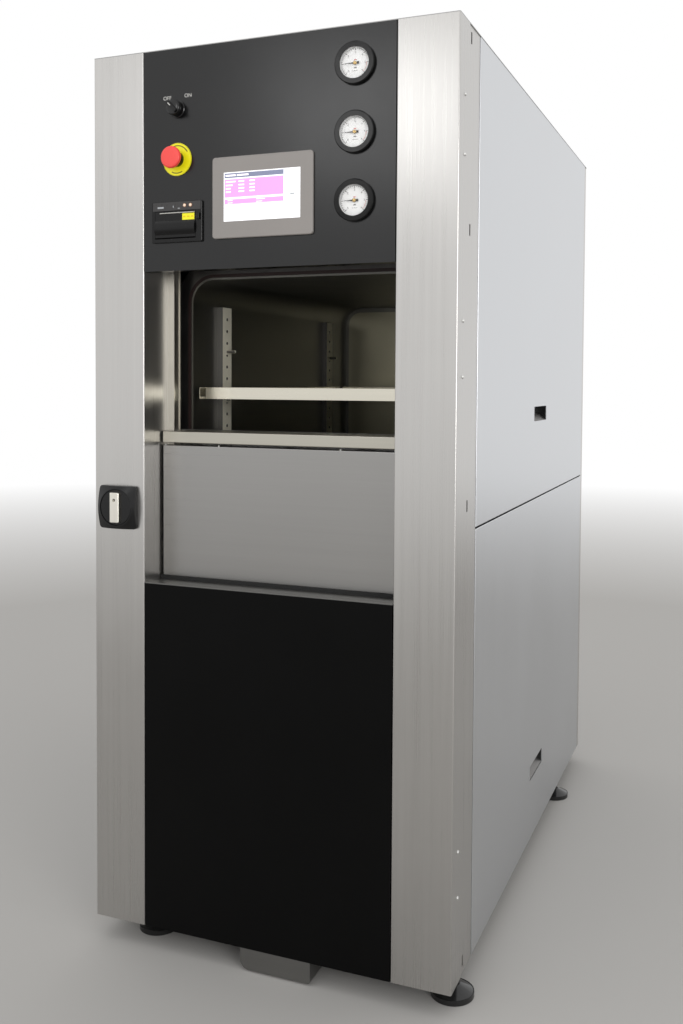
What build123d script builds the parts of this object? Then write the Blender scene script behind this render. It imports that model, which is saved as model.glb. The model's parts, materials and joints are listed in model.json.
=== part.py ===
from build123d import *
import os

# A floor-standing steam steriliser: a tall stainless cabinet whose pressure door slides down behind
# the lower front panel. Millimetres, +Z up, floor at Z 0, front towards -Y, X 0 on the cabinet's middle.
# A depth is always measured back from the front face of the two front pillars.

# Cabinet
BODY_W = 720.0
BODY_D = 1340.0
BODY_H = 1660.0
GROUND_GAP = 44.0
SHEET = 1.5
BEND = 2.5
SEAM_GAP = 1.0
PILLAR_W = 110.0
PILLAR_INNER_D = 86.0
PILLAR_OUTER_D = 62.0
LOWER_PANEL_H = 663.0
CONTROL_PANEL_H = 408.0
PANEL_RETURN = 25.0
SIDE_PANEL_D0 = 136.0
SIDE_PANEL_REAR = 30.0
SIDE_SEAM_H = 786.0
SIDE_SEAM_GAP = 3.0
SKIRT_GAP = 3.0

# Control proud of the front face that sets the overall depth
STOP_PROUD = 28.0

# Welded frame of square tube
TUBE = 40.0
TUBE_WALL = 3.0
FRAME_INSET = 22.0
UPRIGHT_D0 = 94.0
FRAME_REAR_GAP = 10.0
CRADLE_D = (230.0, 830.0)
POST_T = 2.0
POST_D0 = 30.0
TRAY_T = 2.0
CROSS_RISE = 6.0
CROSS_DROP = 200.0
CROSS_H = 34.0
CROSS_DEEP = 30.0

# Feet
FOOT_R = 39.0
FOOT_RIM_H = 9.0
FOOT_DOME_R = 37.0
FOOT_DOME_H = 12.0
FOOT_HUB_R = 13.0
FOOT_STUD_R = 6.0
FOOT_NUT_R = 11.0
FOOT_NUT_H = 8.0
FOOT_PLATE_T = 6.0
FOOT_PLATE_W = 70.0
FOOT_PLATE_MARGIN = 18.0
FOOT_PLATE_TIP = 12.0
FOOT_RIGHT_X = 340.0
FOOT_LEFT_X = -267.0
FOOT_FRONT_D = 80.0
FOOT_REAR_D = 1050.0

# Chamber
CHAMBER_W = 470.0
CHAMBER_H = 540.0
CHAMBER_TOP_Z = 1294.0
CHAMBER_R = 46.0
CHAMBER_T = 4.0
FLANGE_D0 = 158.0
FLANGE_T = 20.0
FLANGE_RIM = 38.0
REAR_WALL_D = 995.0
REAR_WALL_T = 12.0
SEAL_W = 7.0
SEAL_DEEP = 8.0
SEAL_PROUD = 1.0
SEAL_CLEAR = 0.3
JACKET_GAP = 18.0
JACKET_T = 4.0
JACKET_FRONT = 16.0
JACKET_REAR = 20.0
BAFFLE_GAP = 9.0
BAFFLE_T = 2.5
BAFFLE_MARGIN = 12.0
BAFFLE_POST_R = 5.0

# Shelf and its supports
RACK_W = 39.0
RACK_PROUD = 12.0
RACK_T = 1.5
RACK_D = (260.0, 827.0)
RACK_FOOT = 47.0
RACK_HEAD = 47.0
RACK_HOLE_R = 3.5
RACK_PITCH = 25.0
STUD_R = 3.0
STUD_LEN = 9.0
PEG_LEN = 20.0
PEG_RISE = 98.0
RUNNER_W = 13.0
RUNNER_H = 23.0
RUNNER_T = 1.5
RUNNER_INSET = 4.0
SHELF_Z = 1056.0
SHELF_T = 2.0
SHELF_CLEAR = 0.6
SHELF_INSET = 2.0
SHELF_D1 = 905.0
SHELF_SLOT_W = 10.0
SHELF_SLOT_L = 70.0
SHELF_PITCH_X = 83.0
SHELF_PITCH_Y = 44.0

# Sliding door, drawn where the photograph shows it: part way down
DOOR_TOP_Z = 994.0
DOOR_H = 612.0
DOOR_SIDE_CLEAR = 4.5
DOOR_SKIN_D0 = 60.5
DOOR_SKIN_D1 = 84.0
DOOR_PLATE_T = 20.0
DOOR_PLATE_GAP = 2.0
DOOR_PLATE_LAP = 24.0
DOOR_LID_T = 6.0
DOOR_RAIL_H = 22.0
DOOR_GROOVE = 5.0
DOOR_RIB_W = 30.0
DOOR_RIB_X = 150.0
DOOR_TONGUE_INSET = 20.0
DOOR_SCREW_PITCH = 125.0
DOOR_SCREW_R = 3.5
DOOR_SCREW_TOP_R = 2.1
DOOR_SCREW_D = 5.0
DOOR_SCREW_H = 2.4
GUIDE_T = 3.0
GUIDE_LIP = 14.0
GUIDE_LIP_T = 4.0
GUIDE_LEG = 28.0
GUIDE_BEAD = 2.0
GUIDE_GAP = 2.0
SILL_D1 = 56.5
SILL_T = 2.0
SILL_LEG = 22.0
WIPER_T = 2.5
WIPER_PROUD = 7.0
WIPER_DEEP = 16.0

# Lift cylinders beside the door
LIFT_X = 302.0
LIFT_STAND = 2.0
LIFT_R = 16.0
LIFT_CLEAR = 0.3
LIFT_TOP_Z = 790.0
LIFT_CAP = 38.0
LIFT_CAP_H = 24.0
CARRIAGE_W = 40.0
CARRIAGE_H = 50.0
ARM_T = 16.0

# Drain trough below the front
TROUGH_X0 = -45.0
TROUGH_X1 = 96.0
TROUGH_DROP = 40.0
TROUGH_D0 = 2.0
TROUGH_D1 = 76.0
TROUGH_R = 16.0
TROUGH_R_SMALL = 5.0

# Control panel instruments
COLUMN_X = 177.0
GAUGE_X = 175.0
GAUGE_TOP_Z = 1637.5
GAUGE_PITCH = 116.8
GAUGE_RING_R = 36.5
GAUGE_VIEW_R = 27.0
GAUGE_BORE_R = 30.2
GAUGE_CASE_R = 32.0
GAUGE_RING_PROUD = 8.0
GAUGE_CASE_D = 40.0
GAUGE_STEM_R = 7.0
GAUGE_STEM_D = 62.0
GAUGE_LIP = 1.5
LENS_T = 1.5
DIAL_T = 1.5
NEEDLE_T = 0.8
NEEDLE_LIFT = 1.3
NEEDLE_L = 21.0
NEEDLE_TAIL = 7.0
NEEDLE_W = 2.2
NEEDLE_HUB_R = 3.2
SPINDLE_R = 1.2
SPINDLE_CLEAR = 0.06
SWITCH_Z = 1592.0
SWITCH_BEZEL_R = 16.5
SWITCH_BEZEL_H = 4.0
SWITCH_BODY_R = 11.0
SWITCH_BODY_D = 46.0
KNOB_R = 14.0
KNOB_H = 9.0
KNOB_GRIP_W = 8.0
KNOB_GRIP_H = 10.0
KNOB_TAPER = 4.0
KNOB_GAP = 0.4
KNOB_SHAFT_R = 4.0
SHAFT_CLEAR = 0.06
KNOB_REST_DEG = 45.0
STOP_Z = 1500.0
LEGEND_R = 30.0
LEGEND_T = 1.5
STOP_COLLAR_R = 14.0
STOP_COLLAR_H = 7.0
STOP_NECK_R = 12.0
STOP_STEM_R = 9.0
STOP_HEAD_R = 20.0
STOP_HEAD_H = 12.0
STOP_HEAD_FLARE = 6.0
STOP_PIN_R = 6.0
STOP_PIN_GAP = 2.0
STOP_BODY = 34.0
STOP_BODY_D = 52.0
HMI_X = -1.5
HMI_Z = 1423.0
HMI_W = 199.0
HMI_H = 146.0
HMI_PROUD = 6.0
HMI_R = 6.0
HMI_SCREEN_W = 152.0
HMI_SCREEN_H = 88.0
HMI_SCREEN_RISE = 1.0
HMI_GLASS_T = 1.5
HMI_GLASS_INSET = 0.8
HMI_BACK_D = 40.0
HMI_BACK_MARGIN = 8.0
PRINTER_X = -176.0
PRINTER_Z = 1385.0
PRINTER_W = 106.0
PRINTER_H = 75.0
PRINTER_PROUD = 5.0
PRINTER_WALL = 3.0
PRINTER_D = 62.0
PRINTER_STRIP_H = 17.0
PRINTER_LEDGE = 7.0
PRINTER_RIGHT_LEDGE = 13.0
COVER_CLEAR = 0.6
COVER_T = 2.5
COVER_BULGE = 5.0
HINGE_R = 2.0
HINGE_CLEAR = 0.06
HINGE_D = -1.5
HINGE_RISE = 5.0
KNUCKLE_R = 4.2
KNUCKLE_HALF = 2.3
ROLL_R = 19.0
ROLL_CORE_R = 6.0
ROLL_W = 58.0
ROLL_GAP = 0.8
STUB_GRIP = 6.0
RELEASE_W = 6.0
RELEASE_H = 12.0
RELEASE_PROUD = 4.0
RELEASE_TRAVEL = 1.5

# Isolator on the left pillar
ISOLATOR_Z = 850.0
ISOLATOR_W = 82.0
ISOLATOR_T = 14.0
ISOLATOR_EDGE = 6.0
ISOLATOR_RIM_R = 36.0
ISOLATOR_CORNER_H = 4.0
ISOLATOR_DISH_R = 34.0
ISOLATOR_DISH_H = 5.0
ISOLATOR_DISH_SINK = 6.0
ISOLATOR_GAP = 0.5
ISOLATOR_GRIP_W = 20.0
ISOLATOR_GRIP_L = 57.0
ISOLATOR_GRIP_H = 6.0
ISOLATOR_LOCK_R = 3.0
ISOLATOR_SHAFT_R = 5.0
ISOLATOR_BODY = 50.0
ISOLATOR_BODY_D = 46.0

# Side panel finger pulls
PULL_L = 140.0
PULL_H = 33.0
PULL_DEEP = 20.0
PULL_T = 1.5
PULL_D = 715.0
PULL_UPPER_H = 978.0
PULL_LOWER_H = 157.0

# Cover screws and post slots, heights above the cabinet's bottom edge
SCREW_R = 4.0
SCREW_TOP_R = 2.2
SCREW_H = 2.2
SCREW_D = 34.0
SCREW_HEIGHTS = (155.0, 236.0, 1057.0, 1152.0, 1432.0, 1532.0)
SLOT_D = 77.0
SLOT_L = 20.0
SLOT_W = 7.0
SLOT_HEIGHTS = (22.0, 832.0, 1311.0, 1638.0)

# Steam plant inside
BOILER_R = 115.0
BOILER_X = 150.0
BOILER_D = 480.0
BOILER_H = 520.0
BOILER_END_R = 30.0
PUMP_X = -150.0
PUMP_D = 480.0
PUMP_R = 75.0
PUMP_L = 250.0
PUMP_FOOT_H = 20.0
PIPE_R = 11.0
PIPE_COLLAR_R = 17.0
PIPE_COLLAR_H = 14.0
VALVE_R = 14.0
VALVE_H = 70.0
VALVE_HEX_R = 21.0
VALVE_IN = 155.0
CABINET_W = 420.0
CABINET_D0 = 600.0
CABINET_D1 = 760.0
CABINET_H = 240.0

# Worked out from the sizes above
FRONT_Y = (STOP_PROUD - BODY_D) / 2
BASE_Z = GROUND_GAP
TOP_Z = GROUND_GAP + BODY_H
SKIN_TOP_Z = TOP_Z - SHEET
SILL_Z = BASE_Z + LOWER_PANEL_H
HEAD_Z = TOP_Z - CONTROL_PANEL_H
HALF_W = BODY_W / 2
OPEN_HALF = HALF_W - PILLAR_W
FRAME_X1 = HALF_W - FRAME_INSET
FRAME_X0 = FRAME_X1 - TUBE
UPRIGHT_D1 = UPRIGHT_D0 + TUBE
FRAME_D1 = BODY_D - FRAME_REAR_GAP
FRAME_TOP_Z = SKIN_TOP_Z
FRAME_FLOOR_Z = BASE_Z + TUBE
SEAM_Z = BASE_Z + SIDE_SEAM_H
CHAMBER_BOTTOM_Z = CHAMBER_TOP_Z - CHAMBER_H
CHAMBER_MID_Z = (CHAMBER_TOP_Z + CHAMBER_BOTTOM_Z) / 2
JACKET_OUT = CHAMBER_T + JACKET_GAP + JACKET_T
JACKET_BOTTOM_Z = CHAMBER_BOTTOM_Z - JACKET_OUT
FLANGE_D1 = FLANGE_D0 + FLANGE_T
JACKET_D0 = FLANGE_D1 + JACKET_FRONT
JACKET_D1 = REAR_WALL_D - JACKET_REAR
RUNNER_D0 = FLANGE_D0 + RUNNER_INSET
SHELF_D0 = RUNNER_D0 + SHELF_INSET
DOOR_BOTTOM_Z = DOOR_TOP_Z - DOOR_H
DOOR_HALF = OPEN_HALF - DOOR_SIDE_CLEAR
PLATE_HALF = CHAMBER_W / 2 + DOOR_PLATE_LAP
DOOR_PLATE_D1 = FLANGE_D0 - DOOR_PLATE_GAP
DOOR_PLATE_D0 = DOOR_PLATE_D1 - DOOR_PLATE_T
LIFT_D = UPRIGHT_D1 + CARRIAGE_W / 2 + LIFT_STAND
DOOR_SKIN_TOP_Z = DOOR_TOP_Z - DOOR_RAIL_H - DOOR_GROOVE
RACK_INNER_X = CHAMBER_W / 2 - RACK_PROUD
RUNNER_INNER_X = RACK_INNER_X - RUNNER_W
PRINTER_TOP_Z = PRINTER_Z + PRINTER_H / 2
PRINTER_BOTTOM_Z = PRINTER_Z - PRINTER_H / 2
PILLAR_MID = HALF_W - PILLAR_W / 2
GAUGE_HEIGHTS = [GAUGE_TOP_Z - i * GAUGE_PITCH for i in range(3)]
os.makedirs("parts", exist_ok=True)


def at(depth):
    """World Y of a depth behind the pillars' front face."""
    return FRONT_Y + depth


def facing(depth):
    """A plane that faces the user at a depth: local x is X, local y is Z."""
    return Plane(origin=(0, at(depth), 0), x_dir=(1, 0, 0), z_dir=(0, -1, 0))


def block(x0, x1, d0, d1, z0, z1, mode=Mode.ADD):
    """A box between two X values, two depths and two heights."""
    with Locations(((x0 + x1) / 2, at((d0 + d1) / 2), (z0 + z1) / 2)):
        Box(x1 - x0, d1 - d0, z1 - z0, mode=mode)


def disc(x, z, d0, d1, r, mode=Mode.ADD):
    """A round piece on a front-to-back axis."""
    with Locations((x, at((d0 + d1) / 2), z)):
        Cylinder(r, d1 - d0, rotation=(90, 0, 0), mode=mode)


def post(x, depth, z0, z1, r, mode=Mode.ADD):
    """A round piece on a vertical axis."""
    with Locations((x, at(depth), (z0 + z1) / 2)):
        Cylinder(r, z1 - z0, mode=mode)


def tube_along(axis, x0, x1, d0, d1, z0, z1):
    """A square tube between limits, open at both ends along the named axis."""
    w = TUBE_WALL
    wx, wd, wz = (0 if axis == a else w for a in "xdz")
    block(x0, x1, d0, d1, z0, z1)
    block(x0 + wx, x1 - wx, d0 + wd, d1 - wd, z0 + wz, z1 - wz, Mode.SUBTRACT)


def save(part, name):
    """Label one finished sub-part and write its own STEP file."""
    part.label = name
    export_step(part, f"parts/{name}.step")


def rounded_ring(depth, thickness, outer, inner, corner):
    """A rounded frame around the chamber mouth: outer and inner are offsets from the mouth."""
    with BuildSketch(facing(depth)) as ring:
        with Locations((0, CHAMBER_MID_Z)):
            RectangleRounded(CHAMBER_W + 2 * outer, CHAMBER_H + 2 * outer, corner + outer)
            RectangleRounded(CHAMBER_W + 2 * inner, CHAMBER_H + 2 * inner, corner + inner,
                             mode=Mode.SUBTRACT)
    return extrude(ring.sketch, amount=-thickness)


def sides(x0, x1):
    """The two mirrored X intervals of a piece that is on the left and on the right."""
    return ((-x1, -x0), (x0, x1))


# Welded frame: each tube and foot plate is a solid of its own that meets its neighbours face to face
frame_pieces = []


def frame_tube(axis, x0, x1, d0, d1, z0, z1):
    """Adds one square tube to the frame."""
    with BuildPart() as tube:
        tube_along(axis, x0, x1, d0, d1, z0, z1)
    frame_pieces.append(tube.part.solid())


CROSS_MID_D = (CABINET_D0 + CABINET_D1 - TUBE) / 2
for level in (BASE_Z, FRAME_TOP_Z - TUBE):
    for x0, x1 in sides(FRAME_X0, FRAME_X1):
        frame_tube("d", x0, x1, UPRIGHT_D0, FRAME_D1, level, level + TUBE)
    for depth in (UPRIGHT_D0, CROSS_MID_D, FRAME_D1 - TUBE):
        frame_tube("x", -FRAME_X0, FRAME_X0, depth, depth + TUBE, level, level + TUBE)
for x0, x1 in sides(FRAME_X0, FRAME_X1):
    for depth in (UPRIGHT_D0, FRAME_D1 - TUBE):
        frame_tube("z", x0, x1, depth, depth + TUBE, FRAME_FLOOR_Z, FRAME_TOP_Z - TUBE)
    frame_tube("d", x0, x1, UPRIGHT_D1, FRAME_D1 - TUBE, SEAM_Z - TUBE / 2, SEAM_Z + TUBE / 2)
for depth in CRADLE_D:
    frame_tube("x", -FRAME_X0, FRAME_X0, depth, depth + TUBE, BASE_Z, BASE_Z + TUBE)
    frame_tube("x", -FRAME_X0, FRAME_X0, depth, depth + TUBE, JACKET_BOTTOM_Z - TUBE, JACKET_BOTTOM_Z)
    for x0, x1 in sides(FRAME_X0, FRAME_X1):
        frame_tube("z", x0, x1, depth, depth + TUBE, FRAME_FLOOR_Z, SEAM_Z - TUBE / 2)
for foot_x, side in ((FOOT_RIGHT_X, 1), (FOOT_LEFT_X, -1)):
    plate_x0 = foot_x - side * FOOT_PLATE_MARGIN
    plate_x1 = foot_x + side * FOOT_PLATE_TIP
    reach = (plate_x0, plate_x1, side * FRAME_X0, side * FRAME_X1)
    for depth in (FOOT_FRONT_D, FOOT_REAR_D):
        plate_d1 = UPRIGHT_D1 if depth == FOOT_FRONT_D else depth + FOOT_PLATE_W / 2
        with BuildPart() as foot_plate:
            block(min(reach), max(reach), depth - FOOT_PLATE_W / 2, plate_d1,
                  BASE_Z - FOOT_PLATE_T, BASE_Z)
            post(foot_x, depth, BASE_Z - FOOT_PLATE_T, BASE_Z, FOOT_STUD_R, Mode.SUBTRACT)
        frame_pieces.append(foot_plate.part.solid())
save(Compound(children=frame_pieces), "welded_frame")

# Tray that the steam plant stands on, lying on the base tubes
with BuildPart() as equipment_tray:
    block(-FRAME_X0, FRAME_X0, CRADLE_D[0], FRAME_D1 - TUBE, FRAME_FLOOR_Z, FRAME_FLOOR_Z + TRAY_T)
save(equipment_tray.part, "equipment_tray")

# Corner posts: folded strips seen between the front pillars and the side panels, with keyhole slots
with BuildPart() as corner_posts:
    web_x1 = HALF_W - SHEET
    web_x0 = web_x1 - POST_T
    for side in (-1, 1):
        w0, w1 = sorted((side * web_x0, side * web_x1))
        l0, l1 = sorted((side * FRAME_X1, side * web_x1))
        front_d1 = UPRIGHT_D1
        block(w0, w1, POST_D0, front_d1, BASE_Z, SKIN_TOP_Z)
        block(l0, l1, front_d1 - POST_T, front_d1, BASE_Z, SKIN_TOP_Z)
        for height in SLOT_HEIGHTS:
            slot_z = BASE_Z + height
            block(w0, w1, SLOT_D - SLOT_W / 2, SLOT_D + SLOT_W / 2,
                  slot_z - SLOT_L / 2, slot_z + SLOT_L / 2, Mode.SUBTRACT)
        rear_d0 = BODY_D - SIDE_PANEL_REAR + SKIRT_GAP
        block(w0, w1, rear_d0, BODY_D, BASE_Z, SKIN_TOP_Z)
        block(l0, l1, rear_d0, rear_d0 + POST_T, BASE_Z, SKIN_TOP_Z)
        block(l0, l1, BODY_D - POST_T, BODY_D, BASE_Z, SKIN_TOP_Z)
save(corner_posts.part, "corner_posts")

# Two cross members that tie the pillars and carry the black panels
with BuildPart() as cross_members:
    for z0 in (HEAD_Z + CROSS_RISE, SILL_Z - CROSS_DROP):
        cross_d1 = PANEL_RETURN + CROSS_DEEP
        block(-OPEN_HALF, OPEN_HALF, PANEL_RETURN, cross_d1, z0, z0 + CROSS_H)
        block(-OPEN_HALF, OPEN_HALF, PANEL_RETURN + POST_T, cross_d1,
              z0 + POST_T, z0 + CROSS_H - POST_T, Mode.SUBTRACT)
save(cross_members.part, "cross_members")


def pillar_cover(side):
    """A folded stainless channel: front face, inner return beside the door, outer return with screws."""
    with BuildPart() as cover:
        x_in = side * OPEN_HALF
        x_out = side * HALF_W
        block(*sorted((x_in, x_out)), 0, PILLAR_INNER_D, BASE_Z, SKIN_TOP_Z)
        fillet(cover.edges().filter_by(Axis.Z).group_by(Axis.Y)[0], BEND)
        block(*sorted((x_in + side * SHEET, x_out - side * SHEET)), SHEET, PILLAR_INNER_D,
              BASE_Z, SKIN_TOP_Z, Mode.SUBTRACT)
        block(*sorted((x_out - side * SHEET, x_out)), PILLAR_OUTER_D, PILLAR_INNER_D,
              BASE_Z, SKIN_TOP_Z, Mode.SUBTRACT)
        if side < 0:
            disc(-PILLAR_MID, ISOLATOR_Z, 0, SHEET, ISOLATOR_SHAFT_R * 2, Mode.SUBTRACT)
    return cover.part


save(pillar_cover(-1), "left_pillar_cover")
save(pillar_cover(1), "right_pillar_cover")


def folded_front(z0, z1):
    """A black front panel: a shallow tray whose folded edges point inwards."""
    half = OPEN_HALF - SEAM_GAP
    block(-half, half, 0, PANEL_RETURN, z0, z1)
    block(-half + SHEET, half - SHEET, SHEET, PANEL_RETURN, z0 + SHEET, z1 - SHEET, Mode.SUBTRACT)


with BuildPart() as control_panel:
    folded_front(HEAD_Z, SKIN_TOP_Z)
    for gauge_z in GAUGE_HEIGHTS:
        disc(GAUGE_X, gauge_z, 0, SHEET, GAUGE_CASE_R, Mode.SUBTRACT)
    disc(-COLUMN_X, SWITCH_Z, 0, SHEET, SWITCH_BODY_R, Mode.SUBTRACT)
    disc(-COLUMN_X, STOP_Z, 0, SHEET, STOP_NECK_R, Mode.SUBTRACT)
    hmi_hole_w = HMI_W - 2 * HMI_BACK_MARGIN
    hmi_hole_h = HMI_H - 2 * HMI_BACK_MARGIN
    block(HMI_X - hmi_hole_w / 2, HMI_X + hmi_hole_w / 2, 0, SHEET,
          HMI_Z - hmi_hole_h / 2, HMI_Z + hmi_hole_h / 2, Mode.SUBTRACT)
    printer_hole_w = PRINTER_W - 2 * PRINTER_WALL
    printer_hole_h = PRINTER_H - 2 * PRINTER_WALL
    block(PRINTER_X - printer_hole_w / 2, PRINTER_X + printer_hole_w / 2, 0, SHEET,
          PRINTER_Z - printer_hole_h / 2, PRINTER_Z + printer_hole_h / 2, Mode.SUBTRACT)
save(control_panel.part, "control_panel")

with BuildPart() as lower_front_panel:
    folded_front(BASE_Z, SILL_Z)
save(lower_front_panel.part, "lower_front_panel")

# Stainless sill between the lower panel and the door, and the rubber wiper on its rear edge
with BuildPart() as door_sill:
    sill_half = OPEN_HALF - SEAM_GAP
    block(-sill_half, sill_half, PANEL_RETURN, SILL_D1, SILL_Z - SILL_T, SILL_Z)
    block(-sill_half, sill_half, SHEET, PANEL_RETURN, SILL_Z, SILL_Z + SILL_T)
    block(-sill_half, sill_half, PANEL_RETURN, PANEL_RETURN + SILL_T, SILL_Z - SILL_T, SILL_Z + SILL_T)
    block(-sill_half, sill_half, SILL_D1 - SILL_T, SILL_D1, SILL_Z - SILL_LEG, SILL_Z)
save(door_sill.part, "door_sill")

with BuildPart() as door_wiper:
    block(-sill_half, sill_half, SILL_D1, SILL_D1 + WIPER_T, SILL_Z - WIPER_DEEP, SILL_Z + WIPER_PROUD)
save(door_wiper.part, "door_wiper")

# Top panel over the whole cabinet
with BuildPart() as top_panel:
    block(-HALF_W, HALF_W, 0, BODY_D, SKIN_TOP_Z, TOP_Z)
    fillet(top_panel.edges().filter_by(Axis.Z), BEND)
save(top_panel.part, "top_panel")


def side_panel(side, z0, z1, pull_z):
    """A removable side panel: a folded tray against the frame, with a cut-out for its finger pull."""
    d0 = SIDE_PANEL_D0
    d1 = BODY_D - SIDE_PANEL_REAR
    x_out = side * HALF_W
    x_back = side * FRAME_X1
    with BuildPart() as panel:
        block(*sorted((x_out, x_back)), d0, d1, z0, z1)
        outer = panel.faces().sort_by(Axis.X)[-1 if side > 0 else 0]
        fillet(outer.edges(), SHEET)
        block(*sorted((x_out - side * SHEET, x_back)), d0 + SHEET, d1 - SHEET,
              z0 + SHEET, z1 - SHEET, Mode.SUBTRACT)
        block(*sorted((x_out, x_out - side * SHEET)), PULL_D - PULL_L / 2, PULL_D + PULL_L / 2,
              pull_z - PULL_H / 2, pull_z + PULL_H / 2, Mode.SUBTRACT)
    return panel.part


PULL_UPPER_Z = BASE_Z + PULL_UPPER_H
PULL_LOWER_Z = BASE_Z + PULL_LOWER_H
with BuildPart() as upper_side_panels:
    for side in (-1, 1):
        add(side_panel(side, SEAM_Z + SIDE_SEAM_GAP / 2, SKIN_TOP_Z, PULL_UPPER_Z))
save(upper_side_panels.part, "upper_side_panels")

with BuildPart() as lower_side_panels:
    for side in (-1, 1):
        add(side_panel(side, BASE_Z + SKIRT_GAP, SEAM_Z - SIDE_SEAM_GAP / 2, PULL_LOWER_Z))
save(lower_side_panels.part, "lower_side_panels")

# Finger pulls: a cup behind each cut-out with a sloping floor
with BuildPart() as finger_pulls:
    for side in (-1, 1):
        for pull_z in (PULL_UPPER_Z, PULL_LOWER_Z):
            x_face = side * (HALF_W - SHEET)
            x_back = side * (HALF_W - SHEET - PULL_DEEP)
            half_l = PULL_L / 2
            half_h = PULL_H / 2
            block(*sorted((x_face, x_back)), PULL_D - half_l - PULL_T, PULL_D + half_l + PULL_T,
                  pull_z - half_h - PULL_T, pull_z + half_h + PULL_T)
            cup = Plane(origin=(0, at(PULL_D - half_l), 0), x_dir=(side, 0, 0), z_dir=(0, side, 0))
            mouth = HALF_W - SHEET
            floor = mouth - PULL_DEEP + PULL_T
            sill = half_h - pull_z
            roof = -half_h - pull_z
            with BuildSketch(cup) as cup_profile:
                with BuildLine():
                    Polyline((mouth, sill), (mouth, roof), (floor, roof), (floor, -pull_z), close=True)
                make_face()
            extrude(amount=side * PULL_L, mode=Mode.SUBTRACT)
save(finger_pulls.part, "finger_pulls")

# Rear panel, a tray against the frame's rear tubes
with BuildPart() as rear_panel:
    rear_half = FRAME_X1 - SEAM_GAP
    block(-rear_half, rear_half, FRAME_D1, BODY_D, BASE_Z + SKIRT_GAP, SKIN_TOP_Z)
    block(-rear_half + SHEET, rear_half - SHEET, FRAME_D1, BODY_D - SHEET,
          BASE_Z + SKIRT_GAP + SHEET, SKIN_TOP_Z - SHEET, Mode.SUBTRACT)
save(rear_panel.part, "rear_panel")

# Drain trough hanging below the front edge, open on top, with a flange under the front base tube
with BuildPart() as drain_trough:
    trough_z0 = BASE_Z - TROUGH_DROP
    block(TROUGH_X0, TROUGH_X1, TROUGH_D0, TROUGH_D1, trough_z0, BASE_Z)
    under = drain_trough.edges().filter_by(Axis.Y).group_by(Axis.Z)[0].sort_by(Axis.X)
    fillet(under[0], TROUGH_R)
    fillet(drain_trough.edges().filter_by(Axis.Y).group_by(Axis.Z)[0].sort_by(Axis.X)[-1], TROUGH_R_SMALL)
    block(TROUGH_X0 + SHEET, TROUGH_X1 - SHEET, TROUGH_D0 + SHEET, TROUGH_D1 - SHEET,
          trough_z0 + TROUGH_R, BASE_Z, Mode.SUBTRACT)
    block(TROUGH_X0 + TROUGH_R, TROUGH_X1 - TROUGH_R_SMALL, TROUGH_D0 + SHEET, TROUGH_D1 - SHEET,
          trough_z0 + SHEET, BASE_Z, Mode.SUBTRACT)
    block(TROUGH_X0, TROUGH_X1, TROUGH_D1 - SHEET, UPRIGHT_D0 + TUBE / 2, BASE_Z - SHEET, BASE_Z)
save(drain_trough.part, "drain_trough")

# Feet: moulded pads, and studs with their lock nuts
FOOT_PLACES = [(x, d) for x in (FOOT_LEFT_X, FOOT_RIGHT_X) for d in (FOOT_FRONT_D, FOOT_REAR_D)]
with BuildPart() as foot_pads:
    for foot_x, foot_d in FOOT_PLACES:
        post(foot_x, foot_d, 0, FOOT_RIM_H, FOOT_R)
        with Locations((foot_x, at(foot_d), FOOT_RIM_H + FOOT_DOME_H / 2)):
            Cone(FOOT_DOME_R, FOOT_HUB_R, FOOT_DOME_H)
        post(foot_x, foot_d, FOOT_RIM_H, FOOT_RIM_H + FOOT_DOME_H, FOOT_STUD_R, Mode.SUBTRACT)
save(foot_pads.part, "foot_pads")

with BuildPart() as foot_studs:
    nut_top = BASE_Z - FOOT_PLATE_T
    for foot_x, foot_d in FOOT_PLACES:
        post(foot_x, foot_d, FOOT_RIM_H, BASE_Z, FOOT_STUD_R)
        with BuildSketch(Plane.XY.offset(nut_top - FOOT_NUT_H)):
            with Locations((foot_x, at(foot_d))):
                RegularPolygon(FOOT_NUT_R, 6)
        extrude(amount=FOOT_NUT_H)
save(foot_studs.part, "foot_studs")

# Dome-headed screws through the pillars' outer returns into the corner posts
with BuildPart() as cover_screws:
    for side in (-1, 1):
        for height in SCREW_HEIGHTS:
            with Locations((side * (HALF_W + SCREW_H / 2), at(SCREW_D), BASE_Z + height)):
                Cone(SCREW_R, SCREW_TOP_R, SCREW_H, rotation=(0, side * 90, 0))
save(cover_screws.part, "cover_screws")

# Chamber flange around the shell's front end, stepped for the seal
with BuildPart() as chamber_flange:
    add(rounded_ring(FLANGE_D0, FLANGE_T, FLANGE_RIM, CHAMBER_T, CHAMBER_R))
    add(rounded_ring(FLANGE_D0, SEAL_DEEP, CHAMBER_T + SEAL_W, CHAMBER_T, CHAMBER_R), mode=Mode.SUBTRACT)
save(chamber_flange.part, "chamber_flange")

with BuildPart() as door_seal:
    add(rounded_ring(FLANGE_D0 - SEAL_PROUD, SEAL_DEEP + SEAL_PROUD, CHAMBER_T + SEAL_W - SEAL_CLEAR,
                     CHAMBER_T + SEAL_CLEAR, CHAMBER_R))
save(door_seal.part, "door_seal")

# Pressure vessel: shell and rear wall welded in one
with BuildPart() as chamber_shell:
    add(rounded_ring(FLANGE_D0, REAR_WALL_D - FLANGE_D0, CHAMBER_T, 0, CHAMBER_R))
    with BuildSketch(facing(REAR_WALL_D)):
        with Locations((0, CHAMBER_MID_Z)):
            RectangleRounded(CHAMBER_W + 2 * CHAMBER_T, CHAMBER_H + 2 * CHAMBER_T, CHAMBER_R + CHAMBER_T)
    extrude(amount=-REAR_WALL_T)
save(chamber_shell.part, "chamber_shell")

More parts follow.
